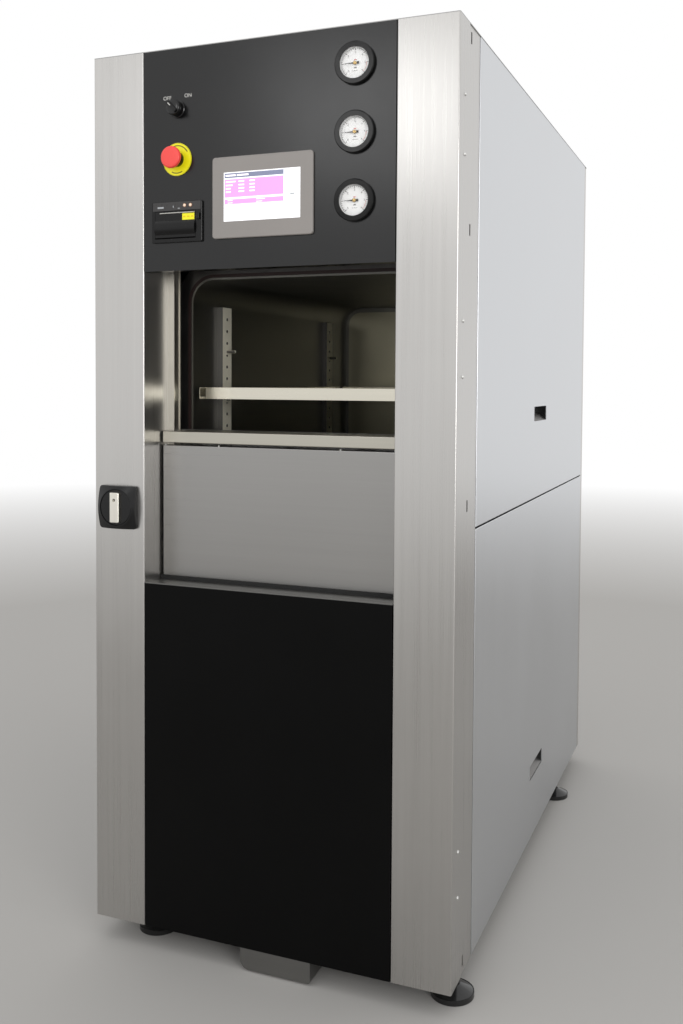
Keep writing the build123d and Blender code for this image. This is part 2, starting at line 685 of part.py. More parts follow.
# Steam baffle standing off the rear wall on four posts
with BuildPart() as chamber_baffle:
    baffle_d1 = REAR_WALL_D - BAFFLE_GAP
    baffle_w = CHAMBER_W - 2 * BAFFLE_MARGIN
    baffle_h = CHAMBER_H - 2 * BAFFLE_MARGIN
    with BuildSketch(facing(baffle_d1 - BAFFLE_T)):
        with Locations((0, CHAMBER_MID_Z)):
            RectangleRounded(baffle_w, baffle_h, CHAMBER_R - BAFFLE_MARGIN)
    extrude(amount=-BAFFLE_T)
    for sx in (-1, 1):
        for sz in (-1, 1):
            post_x = sx * (baffle_w / 2 - CHAMBER_R)
            post_z = CHAMBER_MID_Z + sz * (baffle_h / 2 - CHAMBER_R)
            disc(post_x, post_z, baffle_d1, REAR_WALL_D, BAFFLE_POST_R)
save(chamber_baffle.part, "chamber_baffle")

# Steam jacket around the shell, closed by an end ring at each end
with BuildPart() as steam_jacket:
    add(rounded_ring(JACKET_D0, JACKET_D1 - JACKET_D0, JACKET_OUT, CHAMBER_T, CHAMBER_R))
    add(rounded_ring(JACKET_D0 + JACKET_T, JACKET_D1 - JACKET_D0 - 2 * JACKET_T, CHAMBER_T + JACKET_GAP,
                     CHAMBER_T, CHAMBER_R), mode=Mode.SUBTRACT)
save(steam_jacket.part, "steam_jacket")

# Shelf uprights on the side walls: punched channels with the shelf's studs and a pair of higher pegs
RACK_Z0 = CHAMBER_BOTTOM_Z + RACK_FOOT
RACK_Z1 = CHAMBER_TOP_Z - RACK_HEAD
with BuildPart() as shelf_uprights:
    for side in (-1, 1):
        wall_x = side * CHAMBER_W / 2
        inner_x = side * RACK_INNER_X
        for depth in RACK_D:
            block(*sorted((wall_x, inner_x)), depth, depth + RACK_W, RACK_Z0, RACK_Z1)
            block(*sorted((wall_x, inner_x + side * RACK_T)), depth + RACK_T, depth + RACK_W - RACK_T,
                  RACK_Z0, RACK_Z1, Mode.SUBTRACT)
            holes = int((RACK_Z1 - RACK_Z0 - RACK_PITCH) / RACK_PITCH)
            for i in range(holes):
                hole_z = RACK_Z1 - (i + 1) * RACK_PITCH
                with Locations((inner_x + side * RACK_T / 2, at(depth + RACK_W / 2), hole_z)):
                    Cylinder(RACK_HOLE_R, RACK_T * 2, rotation=(0, 90, 0), mode=Mode.SUBTRACT)
            for reach, stud_z in ((STUD_LEN, SHELF_Z - STUD_R), (PEG_LEN, SHELF_Z + PEG_RISE)):
                with Locations((inner_x - side * (reach - RACK_T) / 2, at(depth + RACK_W / 2), stud_z)):
                    Cylinder(STUD_R, reach + RACK_T, rotation=(0, 90, 0))
                block(*sorted((inner_x, inner_x + side * RACK_T)), depth + RACK_W / 2 - STUD_R * 2,
                      depth + RACK_W / 2 + STUD_R * 2, stud_z - STUD_R * 2, stud_z + STUD_R * 2)
save(shelf_uprights.part, "shelf_uprights")

# Shelf runners: channels open towards the middle, lying on the studs against the uprights
with BuildPart() as shelf_runners:
    for side in (-1, 1):
        outer_x = side * RACK_INNER_X
        inner_x = side * RUNNER_INNER_X
        runner_d1 = RACK_D[1] + RACK_W + RUNNER_H
        block(*sorted((outer_x, inner_x)), RUNNER_D0, runner_d1, SHELF_Z, SHELF_Z + RUNNER_H)
        block(*sorted((outer_x - side * RUNNER_T, inner_x)), RUNNER_D0, runner_d1, SHELF_Z + RUNNER_T,
              SHELF_Z + RUNNER_H - RUNNER_T, Mode.SUBTRACT)
save(shelf_runners.part, "shelf_runners")

# Pull-out shelf: a slotted plate that runs in the runners, with a folded front lip
with BuildPart() as shelf:
    plate_half = RACK_INNER_X - RUNNER_T - SHELF_CLEAR
    lip_half = RUNNER_INNER_X - SHELF_CLEAR
    plate_z = SHELF_Z + RUNNER_T + SHELF_CLEAR
    block(-plate_half, plate_half, SHELF_D0 + SHELF_T, SHELF_D1, plate_z, plate_z + SHELF_T)
    block(-lip_half, lip_half, SHELF_D0, SHELF_D0 + SHELF_T, SHELF_Z, SHELF_Z + RUNNER_H)
    block(-lip_half, lip_half, SHELF_D1 - SHELF_T, SHELF_D1, plate_z, SHELF_Z + RUNNER_H)
    slots_x = int(2 * lip_half / SHELF_PITCH_X)
    slots_y = int((SHELF_D1 - SHELF_D0 - 2 * RUNNER_H) / SHELF_PITCH_Y)
    with BuildSketch(Plane.XY.offset(plate_z)):
        with Locations((0, at((SHELF_D0 + SHELF_D1) / 2))):
            with GridLocations(SHELF_PITCH_X, SHELF_PITCH_Y, slots_x, slots_y):
                SlotOverall(SHELF_SLOT_L, SHELF_SLOT_W)
    extrude(amount=SHELF_T, mode=Mode.SUBTRACT)
save(shelf.part, "shelf")

# Door pressure plate with its stiffening ribs and the lift arms welded to its lower corners
with BuildPart() as door_plate:
    block(-PLATE_HALF, PLATE_HALF, DOOR_PLATE_D0, DOOR_PLATE_D1, DOOR_BOTTOM_Z, DOOR_TOP_Z)
    for rib_x in (-DOOR_RIB_X, 0, DOOR_RIB_X):
        block(rib_x - DOOR_RIB_W / 2, rib_x + DOOR_RIB_W / 2, DOOR_SKIN_D0 + SHEET, DOOR_PLATE_D0,
              DOOR_BOTTOM_Z + SHEET, DOOR_SKIN_TOP_Z - SHEET)
    arm_d0 = DOOR_PLATE_D0 + (DOOR_PLATE_T - ARM_T) / 2
    for side in (-1, 1):
        block(*sorted((side * PLATE_HALF, side * LIFT_X)), arm_d0, arm_d0 + ARM_T, DOOR_BOTTOM_Z,
              DOOR_BOTTOM_Z + CARRIAGE_H)
        block(side * LIFT_X - CARRIAGE_W / 2, side * LIFT_X + CARRIAGE_W / 2, LIFT_D - CARRIAGE_W / 2,
              LIFT_D + CARRIAGE_W / 2, DOOR_BOTTOM_Z, DOOR_BOTTOM_Z + CARRIAGE_H)
        post(side * LIFT_X, LIFT_D, DOOR_BOTTOM_Z, DOOR_BOTTOM_Z + CARRIAGE_H, LIFT_R + LIFT_CLEAR,
             Mode.SUBTRACT)
save(door_plate.part, "door_plate")

# Brushed door skin, a tray in front of the plate
with BuildPart() as door_skin:
    block(-DOOR_HALF, DOOR_HALF, DOOR_SKIN_D0, DOOR_SKIN_D1, DOOR_BOTTOM_Z, DOOR_SKIN_TOP_Z)
    fillet(door_skin.faces().sort_by(Axis.Y)[0].edges(), SHEET)
    block(-DOOR_HALF + SHEET, DOOR_HALF - SHEET, DOOR_SKIN_D0 + SHEET, DOOR_SKIN_D1, DOOR_BOTTOM_Z + SHEET,
          DOOR_SKIN_TOP_Z - SHEET, Mode.SUBTRACT)
save(door_skin.part, "door_skin")

# Head rail along the door's top edge, whose lid reaches back to the plate
with BuildPart() as door_head_rail:
    rail_z0 = DOOR_TOP_Z - DOOR_RAIL_H
    tongue_half = DOOR_HALF - DOOR_TONGUE_INSET
    block(-DOOR_HALF, DOOR_HALF, DOOR_SKIN_D0, DOOR_SKIN_D1, rail_z0, DOOR_TOP_Z)
    fillet(door_head_rail.faces().sort_by(Axis.Y)[0].edges().filter_by(Axis.X), SHEET)
    block(-tongue_half, tongue_half, DOOR_SKIN_D1, DOOR_PLATE_D0, DOOR_TOP_Z - DOOR_LID_T, DOOR_TOP_Z)
save(door_head_rail.part, "door_head_rail")

with BuildPart() as door_screws:
    for i in (-1, 1):
        for screw_x in (i * DOOR_SCREW_PITCH, i * (DOOR_HALF - DOOR_SCREW_R)):
            with Locations((screw_x, at(DOOR_SKIN_D0 + DOOR_SCREW_D), DOOR_SKIN_TOP_Z + DOOR_SCREW_H / 2)):
                Cone(DOOR_SCREW_R, DOOR_SCREW_TOP_R, DOOR_SCREW_H)
save(door_screws.part, "door_screws")

# Guides: a channel on each pillar's inner return, whose rear edge keeps the plate against the flange
with BuildPart() as door_guides:
    guide_z0 = BASE_Z + TUBE * 1.5
    guide_z1 = CHAMBER_TOP_Z + FLANGE_RIM
    guide_d1 = DOOR_PLATE_D0 - GUIDE_GAP
    for side in (-1, 1):
        leg_x0 = side * (OPEN_HALF + SHEET)
        leg_x1 = side * (OPEN_HALF + SHEET + GUIDE_T)
        lip_x = side * (OPEN_HALF - GUIDE_LIP)
        bead_x = leg_x0 - side * GUIDE_BEAD
        block(*sorted((leg_x0, leg_x1)), PILLAR_INNER_D - GUIDE_LEG, guide_d1, guide_z0, guide_z1)
        block(*sorted((leg_x1, lip_x)), PILLAR_INNER_D, PILLAR_INNER_D + GUIDE_LIP_T, guide_z0, guide_z1)
        block(*sorted((leg_x1, bead_x)), guide_d1 - GUIDE_T, guide_d1, guide_z0, guide_z1)
save(door_guides.part, "door_guides")

# Rodless lift cylinders: barrels standing on the side base tubes, held by end blocks on the uprights
with BuildPart() as lift_cylinders:
    for side in (-1, 1):
        lift_x = side * LIFT_X
        post(lift_x, LIFT_D, FRAME_FLOOR_Z, LIFT_TOP_Z, LIFT_R)
        for z0 in (FRAME_FLOOR_Z, LIFT_TOP_Z - LIFT_CAP_H):
            block(lift_x - LIFT_CAP / 2, lift_x + LIFT_CAP / 2, UPRIGHT_D1, LIFT_D + LIFT_CAP / 2,
                  z0, z0 + LIFT_CAP_H)
save(lift_cylinders.part, "lift_cylinders")

# Steam generator standing on the tray
PLANT_Z = FRAME_FLOOR_Z + TRAY_T
with BuildPart() as steam_generator:
    post(BOILER_X, BOILER_D, PLANT_Z, PLANT_Z + BOILER_H, BOILER_R)
    fillet(steam_generator.edges().filter_by(GeomType.CIRCLE), BOILER_END_R)
save(steam_generator.part, "steam_generator")

# Vacuum pump: a motor and pump in line on a foot
with BuildPart() as vacuum_pump:
    pump_z = PLANT_Z + PUMP_FOOT_H + PUMP_R
    with Locations((PUMP_X, at(PUMP_D), pump_z)):
        Cylinder(PUMP_R, PUMP_L, rotation=(0, 90, 0))
    fillet(vacuum_pump.edges().filter_by(GeomType.CIRCLE), PUMP_FOOT_H / 2)
    block(PUMP_X - PUMP_R, PUMP_X + PUMP_R, PUMP_D - PUMP_R, PUMP_D + PUMP_R, PLANT_Z, pump_z - PUMP_R / 2)
save(vacuum_pump.part, "vacuum_pump")

# Pipework: steam pipe from the generator and drain pipe to the pump, each with a collar on the jacket
with BuildPart() as pipework:
    for pipe_x, pipe_d, pipe_z0 in ((BOILER_X, BOILER_D, PLANT_Z + BOILER_H), (PUMP_X, PUMP_D, pump_z)):
        post(pipe_x, pipe_d, pipe_z0, JACKET_BOTTOM_Z, PIPE_R)
        post(pipe_x, pipe_d, JACKET_BOTTOM_Z - PIPE_COLLAR_H, JACKET_BOTTOM_Z, PIPE_COLLAR_R)
    add(vacuum_pump.part, mode=Mode.SUBTRACT)
save(pipework.part, "pipework")

# Safety valve on top of the jacket
with BuildPart() as safety_valve:
    valve_z = CHAMBER_TOP_Z + JACKET_OUT
    valve_d = JACKET_D1 - VALVE_IN
    post(0, valve_d, valve_z, valve_z + VALVE_H, VALVE_R)
    with BuildSketch(Plane.XY.offset(valve_z)):
        with Locations((0, at(valve_d))):
            RegularPolygon(VALVE_HEX_R, 6)
    extrude(amount=VALVE_H / 3)
    chamfer(safety_valve.edges().group_by(Axis.Z)[-1], VALVE_R / 3)
save(safety_valve.part, "safety_valve")

# Control cabinet hung under the top frame's middle tube
with BuildPart() as control_cabinet:
    cabinet_z1 = FRAME_TOP_Z - TUBE
    block(-CABINET_W / 2, CABINET_W / 2, CABINET_D0, CABINET_D1, cabinet_z1 - CABINET_H, cabinet_z1)
    fillet(control_cabinet.edges().filter_by(Axis.Z), BEND)
save(control_cabinet.part, "control_cabinet")

# Power switch: bezel with the contact body behind the panel, and the turning knob
with BuildPart() as switch_body:
    disc(-COLUMN_X, SWITCH_Z, -SWITCH_BEZEL_H, 0, SWITCH_BEZEL_R)
    chamfer(switch_body.edges().group_by(Axis.Y)[0], SWITCH_BEZEL_H / 4)
    disc(-COLUMN_X, SWITCH_Z, 0, SWITCH_BODY_D, SWITCH_BODY_R)
    disc(-COLUMN_X, SWITCH_Z, -SWITCH_BEZEL_H, SWITCH_BODY_D / 2, KNOB_SHAFT_R + SHAFT_CLEAR, Mode.SUBTRACT)
save(switch_body.part, "switch_body")

with BuildPart() as power_knob:
    knob_d1 = -SWITCH_BEZEL_H - KNOB_GAP
    knob_d0 = knob_d1 - KNOB_H
    disc(-COLUMN_X, SWITCH_Z, knob_d0, knob_d1, KNOB_R)
    chamfer(power_knob.edges().group_by(Axis.Y)[0], KNOB_H / 8)
    with BuildSketch(facing(knob_d0)):
        with Locations(Location((-COLUMN_X, SWITCH_Z), KNOB_REST_DEG)):
            RectangleRounded(KNOB_GRIP_W, 2 * KNOB_R - KNOB_H / 4, KNOB_GRIP_W / 3)
    extrude(amount=KNOB_GRIP_H, taper=KNOB_TAPER)
    disc(-COLUMN_X, SWITCH_Z, knob_d1, SWITCH_BODY_D / 3, KNOB_SHAFT_R)
save(power_knob.part, "power_knob")

# Emergency stop: legend plate, collar and contact block, latching stem, mushroom head
with BuildPart() as stop_legend:
    disc(-COLUMN_X, STOP_Z, -LEGEND_T, 0, LEGEND_R)
    disc(-COLUMN_X, STOP_Z, -LEGEND_T, 0, STOP_NECK_R, Mode.SUBTRACT)
save(stop_legend.part, "stop_legend")

with BuildPart() as stop_body:
    disc(-COLUMN_X, STOP_Z, -LEGEND_T - STOP_COLLAR_H, -LEGEND_T, STOP_COLLAR_R)
    disc(-COLUMN_X, STOP_Z, -LEGEND_T, SHEET, STOP_NECK_R)
    half = STOP_BODY / 2
    block(-COLUMN_X - half, -COLUMN_X + half, SHEET, STOP_BODY_D, STOP_Z - half, STOP_Z + half)
    disc(-COLUMN_X, STOP_Z, -LEGEND_T - STOP_COLLAR_H, STOP_BODY_D / 2, STOP_STEM_R + SHAFT_CLEAR,
         Mode.SUBTRACT)
save(stop_body.part, "stop_body")

STOP_HEAD_D1 = -STOP_PROUD + STOP_HEAD_H
with BuildPart() as stop_stem:
    disc(-COLUMN_X, STOP_Z, STOP_HEAD_D1 + KNOB_GAP, STOP_BODY_D / 2 - STOP_HEAD_H / 2, STOP_STEM_R)
    disc(-COLUMN_X, STOP_Z, -STOP_PROUD + STOP_HEAD_H / 2, STOP_HEAD_D1 + KNOB_GAP, STOP_PIN_R)
save(stop_stem.part, "stop_stem")

with BuildPart() as stop_head:
    disc(-COLUMN_X, STOP_Z, -STOP_PROUD, STOP_HEAD_D1, STOP_HEAD_R)
    fillet(stop_head.edges().group_by(Axis.Y)[0], STOP_HEAD_H / 4)
    chamfer(stop_head.edges().group_by(Axis.Y)[-1], STOP_HEAD_FLARE)
    disc(-COLUMN_X, STOP_Z, -STOP_PROUD + STOP_HEAD_H / 2 - STOP_PIN_GAP, STOP_HEAD_D1,
         STOP_PIN_R + SHAFT_CLEAR,
         Mode.SUBTRACT)
save(stop_head.part, "stop_head")

# Touch screen: bezel with the housing behind the panel, and the display glass set in it
SCREEN_Z = HMI_Z + HMI_SCREEN_RISE
with BuildPart() as screen_bezel:
    with BuildSketch(facing(0)):
        with Locations((HMI_X, HMI_Z)):
            RectangleRounded(HMI_W, HMI_H, HMI_R)
    extrude(amount=HMI_PROUD)
    chamfer(screen_bezel.faces().sort_by(Axis.Y)[0].edges(), HMI_PROUD / 5)
    block(HMI_X - hmi_hole_w / 2, HMI_X + hmi_hole_w / 2, 0, HMI_BACK_D,
          HMI_Z - hmi_hole_h / 2, HMI_Z + hmi_hole_h / 2)
    block(HMI_X - HMI_SCREEN_W / 2, HMI_X + HMI_SCREEN_W / 2,
          -HMI_PROUD, -HMI_PROUD + HMI_GLASS_INSET + HMI_GLASS_T,
          SCREEN_Z - HMI_SCREEN_H / 2, SCREEN_Z + HMI_SCREEN_H / 2, Mode.SUBTRACT)
save(screen_bezel.part, "screen_bezel")

with BuildPart() as screen_glass:
    glass_d0 = -HMI_PROUD + HMI_GLASS_INSET
    block(HMI_X - HMI_SCREEN_W / 2, HMI_X + HMI_SCREEN_W / 2, glass_d0, glass_d0 + HMI_GLASS_T,
          SCREEN_Z - HMI_SCREEN_H / 2, SCREEN_Z + HMI_SCREEN_H / 2)
save(screen_glass.part, "screen_glass")

# Chart printer: framed housing, paper cover on a bottom hinge, paper roll and release button
COVER_X0 = PRINTER_X - PRINTER_W / 2 + PRINTER_LEDGE
COVER_X1 = PRINTER_X + PRINTER_W / 2 - PRINTER_RIGHT_LEDGE
COVER_Z0 = PRINTER_BOTTOM_Z + PRINTER_LEDGE
COVER_Z1 = PRINTER_TOP_Z - PRINTER_STRIP_H
HINGE_Z = COVER_Z0 + HINGE_RISE
RELEASE_X = PRINTER_X + PRINTER_W / 2 - PRINTER_RIGHT_LEDGE / 2
RELEASE_Z = COVER_Z1 - RELEASE_H
ROLL_D = PRINTER_D - PRINTER_WALL - ROLL_R - ROLL_GAP
ROLL_Z = COVER_Z0 + ROLL_R + ROLL_GAP
with BuildPart() as printer_body:
    with BuildSketch(facing(0)):
        with Locations((PRINTER_X, PRINTER_Z)):
            RectangleRounded(PRINTER_W, PRINTER_H, BEND)
    extrude(amount=PRINTER_PROUD)
    chamfer(printer_body.faces().sort_by(Axis.Y)[0].edges(), PRINTER_PROUD / 6)
    block(PRINTER_X - printer_hole_w / 2, PRINTER_X + printer_hole_w / 2, 0, PRINTER_D,
          PRINTER_Z - printer_hole_h / 2, PRINTER_Z + printer_hole_h / 2)
    block(COVER_X0, COVER_X1, -PRINTER_PROUD, PRINTER_D - PRINTER_WALL, COVER_Z0, COVER_Z1, Mode.SUBTRACT)
    block(RELEASE_X - RELEASE_W / 2, RELEASE_X + RELEASE_W / 2, -PRINTER_PROUD, PRINTER_WALL * 2,
          RELEASE_Z - RELEASE_H / 2, RELEASE_Z + RELEASE_H / 2, Mode.SUBTRACT)
    for pin_x in (COVER_X0 + PRINTER_WALL / 2, COVER_X1 - PRINTER_WALL / 2):
        with Locations((pin_x, at(HINGE_D), HINGE_Z)):
            Cylinder(HINGE_R, PRINTER_WALL, rotation=(0, 90, 0))
    stub_l = (COVER_X1 - COVER_X0 - ROLL_W) / 2 + STUB_GRIP
    for stub_x in (COVER_X0 + stub_l / 2, COVER_X1 - stub_l / 2):
        with Locations((stub_x, at(ROLL_D), ROLL_Z)):
            Cylinder(ROLL_CORE_R - SHAFT_CLEAR, stub_l, rotation=(0, 90, 0))
save(printer_body.part, "printer_body")

with BuildPart() as printer_cover:
    cover_side = Plane(origin=(COVER_X0 + COVER_CLEAR, at(0), 0), x_dir=(0, 1, 0), z_dir=(1, 0, 0))
    cover_w = COVER_X1 - COVER_X0 - 2 * COVER_CLEAR
    skin_y = -PRINTER_PROUD
    knuckle_y = HINGE_D + KNUCKLE_R
    cover_top = COVER_Z1 - COVER_CLEAR
    flat_z = cover_top - PRINTER_STRIP_H
    bulge_z = HINGE_Z + KNUCKLE_HALF
    with BuildSketch(cover_side) as cover_profile:
        with BuildLine():
            Polyline((skin_y, flat_z), (skin_y, cover_top), (skin_y + COVER_T, cover_top),
                     (knuckle_y, flat_z), (knuckle_y, HINGE_Z))
            ThreePointArc((knuckle_y, HINGE_Z), (HINGE_D, HINGE_Z - KNUCKLE_R),
                          (skin_y, HINGE_Z - KNUCKLE_HALF))
            Line((skin_y, HINGE_Z - KNUCKLE_HALF), (skin_y, bulge_z))
            ThreePointArc((skin_y, bulge_z), (skin_y - COVER_BULGE, (flat_z + bulge_z) / 2), (skin_y, flat_z))
        make_face()
    extrude(amount=cover_w)
    block(COVER_X0 + PRINTER_WALL, COVER_X1 - PRINTER_WALL, skin_y + COVER_T, knuckle_y, HINGE_Z + KNUCKLE_R,
          cover_top, Mode.SUBTRACT)
    for pin_x in (COVER_X0 + PRINTER_WALL / 2, COVER_X1 - PRINTER_WALL / 2):
        with Locations((pin_x, at(HINGE_D), HINGE_Z)):
            Cylinder(HINGE_R + HINGE_CLEAR, PRINTER_WALL + COVER_CLEAR, rotation=(0, 90, 0),
                     mode=Mode.SUBTRACT)
save(printer_cover.part, "printer_cover")

with BuildPart() as paper_roll:
    with Locations(((COVER_X0 + COVER_X1) / 2, at(ROLL_D), ROLL_Z)):
        Cylinder(ROLL_R, ROLL_W, rotation=(0, 90, 0))
        Cylinder(ROLL_CORE_R, ROLL_W, rotation=(0, 90, 0), mode=Mode.SUBTRACT)
save(paper_roll.part, "paper_roll")

with BuildPart() as printer_release:
    gap = COVER_CLEAR / 2
    block(RELEASE_X - RELEASE_W / 2 + gap, RELEASE_X + RELEASE_W / 2 - gap, -PRINTER_PROUD - RELEASE_PROUD,
          PRINTER_WALL * 2 - RELEASE_TRAVEL * 2,
          RELEASE_Z - RELEASE_H / 2 + gap, RELEASE_Z + RELEASE_H / 2 - gap)
    fillet(printer_release.faces().sort_by(Axis.Y)[0].edges(), gap * 3)
save(printer_release.part, "printer_release")

# Three pressure gauges: black cases with their front rings, dials, lenses and one needle each
DIAL_D1 = 0.0
DIAL_D0 = DIAL_D1 - DIAL_T
LENS_D0 = -GAUGE_RING_PROUD + GAUGE_LIP
with BuildPart() as gauge_cases:
    for gauge_z in GAUGE_HEIGHTS:
        disc(GAUGE_X, gauge_z, -GAUGE_RING_PROUD, 0, GAUGE_RING_R)
        disc(GAUGE_X, gauge_z, 0, GAUGE_CASE_D, GAUGE_CASE_R)
        disc(GAUGE_X, gauge_z, GAUGE_CASE_D, GAUGE_STEM_D, GAUGE_STEM_R)
    chamfer(gauge_cases.edges().group_by(Axis.Y)[0], GAUGE_LIP)
    for gauge_z in GAUGE_HEIGHTS:
        disc(GAUGE_X, gauge_z, -GAUGE_RING_PROUD, LENS_D0, GAUGE_VIEW_R, Mode.SUBTRACT)
        disc(GAUGE_X, gauge_z, LENS_D0, DIAL_D1, GAUGE_BORE_R, Mode.SUBTRACT)
        disc(GAUGE_X, gauge_z, DIAL_D1, GAUGE_CASE_D - GAUGE_STEM_R, GAUGE_VIEW_R, Mode.SUBTRACT)
save(gauge_cases.part, "gauge_cases")

with BuildPart() as gauge_dials:
    for gauge_z in GAUGE_HEIGHTS:
        disc(GAUGE_X, gauge_z, DIAL_D0, DIAL_D1, GAUGE_BORE_R)
        disc(GAUGE_X, gauge_z, DIAL_D0, DIAL_D1, SPINDLE_R + SPINDLE_CLEAR, Mode.SUBTRACT)
save(gauge_dials.part, "gauge_dials")

with BuildPart() as gauge_lenses:
    for gauge_z in GAUGE_HEIGHTS:
        disc(GAUGE_X, gauge_z, LENS_D0, LENS_D0 + LENS_T, GAUGE_BORE_R)
save(gauge_lenses.part, "gauge_lenses")


def needle(gauge_z):
    """A tapered pointer at nine o'clock with its hub and spindle."""
    needle_d1 = DIAL_D0 - NEEDLE_LIFT
    with BuildPart() as pointer:
        with BuildSketch(facing(needle_d1)):
            with BuildLine():
                Polyline((GAUGE_X - NEEDLE_L, gauge_z), (GAUGE_X, gauge_z + NEEDLE_W / 2),
                         (GAUGE_X + NEEDLE_TAIL, gauge_z + NEEDLE_W),
                         (GAUGE_X + NEEDLE_TAIL, gauge_z - NEEDLE_W),
                         (GAUGE_X, gauge_z - NEEDLE_W / 2), close=True)
            make_face()
        extrude(amount=NEEDLE_T)
        disc(GAUGE_X, gauge_z, needle_d1 - NEEDLE_T * 1.5, needle_d1 + NEEDLE_T, NEEDLE_HUB_R)
        disc(GAUGE_X, gauge_z, needle_d1 + NEEDLE_T, DIAL_D1 + NEEDLE_L / 2, SPINDLE_R)
    return pointer.part


for gauge_z, gauge_name in zip(GAUGE_HEIGHTS, ("upper", "middle", "lower")):
    save(needle(gauge_z), f"{gauge_name}_gauge_needle")

# Isolator: plate that slopes from its square edge to a round rim, switch block behind it, dish and grip
DISH_D1 = -ISOLATOR_T + ISOLATOR_DISH_SINK - ISOLATOR_GAP
DISH_D0 = DISH_D1 - ISOLATOR_DISH_H
with BuildPart() as isolator_plate:
    half = ISOLATOR_W / 2
    with BuildSketch(facing(0)):
        with Locations((-PILLAR_MID, ISOLATOR_Z)):
            RectangleRounded(ISOLATOR_W, ISOLATOR_W, ISOLATOR_EDGE)
    extrude(amount=ISOLATOR_T)
    corner_r = half * 2 ** 0.5
    slope = (corner_r - ISOLATOR_RIM_R) / (ISOLATOR_T - ISOLATOR_CORNER_H)
    slope_r = ISOLATOR_RIM_R + slope * ISOLATOR_T
    with Locations((-PILLAR_MID, at(-ISOLATOR_T / 2), ISOLATOR_Z)):
        Cone(slope_r, ISOLATOR_RIM_R, ISOLATOR_T, rotation=(90, 0, 0), mode=Mode.INTERSECT)
    disc(-PILLAR_MID, ISOLATOR_Z, -ISOLATOR_T, -ISOLATOR_T + ISOLATOR_DISH_SINK,
         ISOLATOR_DISH_R + ISOLATOR_GAP, Mode.SUBTRACT)
    disc(-PILLAR_MID, ISOLATOR_Z, 0, SHEET, ISOLATOR_SHAFT_R * 2)
    half = ISOLATOR_BODY / 2
    block(-PILLAR_MID - half, -PILLAR_MID + half, SHEET, ISOLATOR_BODY_D,
          ISOLATOR_Z - half, ISOLATOR_Z + half)
    disc(-PILLAR_MID, ISOLATOR_Z, -ISOLATOR_T, ISOLATOR_BODY_D / 2, ISOLATOR_SHAFT_R + SHAFT_CLEAR,
         Mode.SUBTRACT)
save(isolator_plate.part, "isolator_plate")

with BuildPart() as isolator_dish:
    disc(-PILLAR_MID, ISOLATOR_Z, DISH_D0, DISH_D1, ISOLATOR_DISH_R)
    fillet(isolator_dish.edges().group_by(Axis.Y)[0], ISOLATOR_DISH_H / 4)
    disc(-PILLAR_MID, ISOLATOR_Z, DISH_D1, ISOLATOR_BODY_D / 2 - ISOLATOR_DISH_H, ISOLATOR_SHAFT_R)
save(isolator_dish.part, "isolator_dish")

with BuildPart() as isolator_grip:
    with BuildSketch(facing(DISH_D0)):
        with Locations((-PILLAR_MID, ISOLATOR_Z)):
            RectangleRounded(ISOLATOR_GRIP_W, ISOLATOR_GRIP_L, ISOLATOR_GAP * 4)
    extrude(amount=ISOLATOR_GRIP_H)
    chamfer(isolator_grip.faces().sort_by(Axis.Y)[0].edges(), ISOLATOR_GAP * 2)
    lock_z = ISOLATOR_Z + ISOLATOR_GRIP_L / 4
    disc(-PILLAR_MID, lock_z, DISH_D0 - ISOLATOR_GRIP_H, DISH_D0 - ISOLATOR_GRIP_H / 2, ISOLATOR_LOCK_R,
         Mode.SUBTRACT)
save(isolator_grip.part, "isolator_grip")
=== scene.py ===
# %% [markdown]
# # Floor-standing steam steriliser: how it looks
#
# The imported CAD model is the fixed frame. It carries the true shapes, and this file dresses it: brushed and satin
# steel, black panels, the printed marks of the instruments, and the small shapes that CAD leaves plain.
# Everything is in metres, with the floor at Z 0 and the front towards -Y.

# %% Load the frame
import json
import math
import bpy
import numpy as np
from mathutils import Matrix, Vector


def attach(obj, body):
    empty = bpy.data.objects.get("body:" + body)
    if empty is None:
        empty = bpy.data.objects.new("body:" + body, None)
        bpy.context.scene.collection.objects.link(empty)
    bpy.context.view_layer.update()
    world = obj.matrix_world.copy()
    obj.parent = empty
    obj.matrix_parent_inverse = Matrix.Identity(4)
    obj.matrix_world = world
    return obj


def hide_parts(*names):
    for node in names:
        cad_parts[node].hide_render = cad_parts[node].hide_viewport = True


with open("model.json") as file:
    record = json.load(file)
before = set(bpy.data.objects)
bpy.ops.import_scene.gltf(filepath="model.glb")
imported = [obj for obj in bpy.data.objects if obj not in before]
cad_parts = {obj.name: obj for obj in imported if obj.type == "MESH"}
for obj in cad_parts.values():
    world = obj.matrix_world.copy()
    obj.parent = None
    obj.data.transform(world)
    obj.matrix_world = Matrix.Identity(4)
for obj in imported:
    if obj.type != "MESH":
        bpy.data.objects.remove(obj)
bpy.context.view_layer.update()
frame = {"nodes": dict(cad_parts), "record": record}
NODES = frame["nodes"]

# %% [markdown]
# ## Measures shared with the CAD model
#
# The front face of the two pillars is the plane that every depth is counted from, with negative depths in front of
# it. The marks sit a hair in front of the surface that carries them, so they read as print and not as plates.

# %% Shared measures
FRONT_Y = -0.656
BASE_Z = 0.044
COLUMN_X = 0.177
GAUGE_X = 0.175
GAUGE_Z = (1.6375, 1.5207, 1.4039)
SWITCH_Z = 1.592
STOP_Z = 1.500
DIAL_FACE = -0.0015
LEGEND_FACE = -0.0015
KNOB_FACE = -0.0234
KNOB_REST = math.radians(45.0)
PRINT = 0.00012


def at(depth):
    """World Y of a depth behind the pillars' front face."""
    return FRONT_Y + depth


# %% [markdown]
# ## Building pieces from arrays
#
# Small pieces are gathered as arrays of points and faces, and written into one mesh each. A sheet of points laid
# out in rows becomes a surface by joining neighbours, so lathe turned shapes need no loop over points.

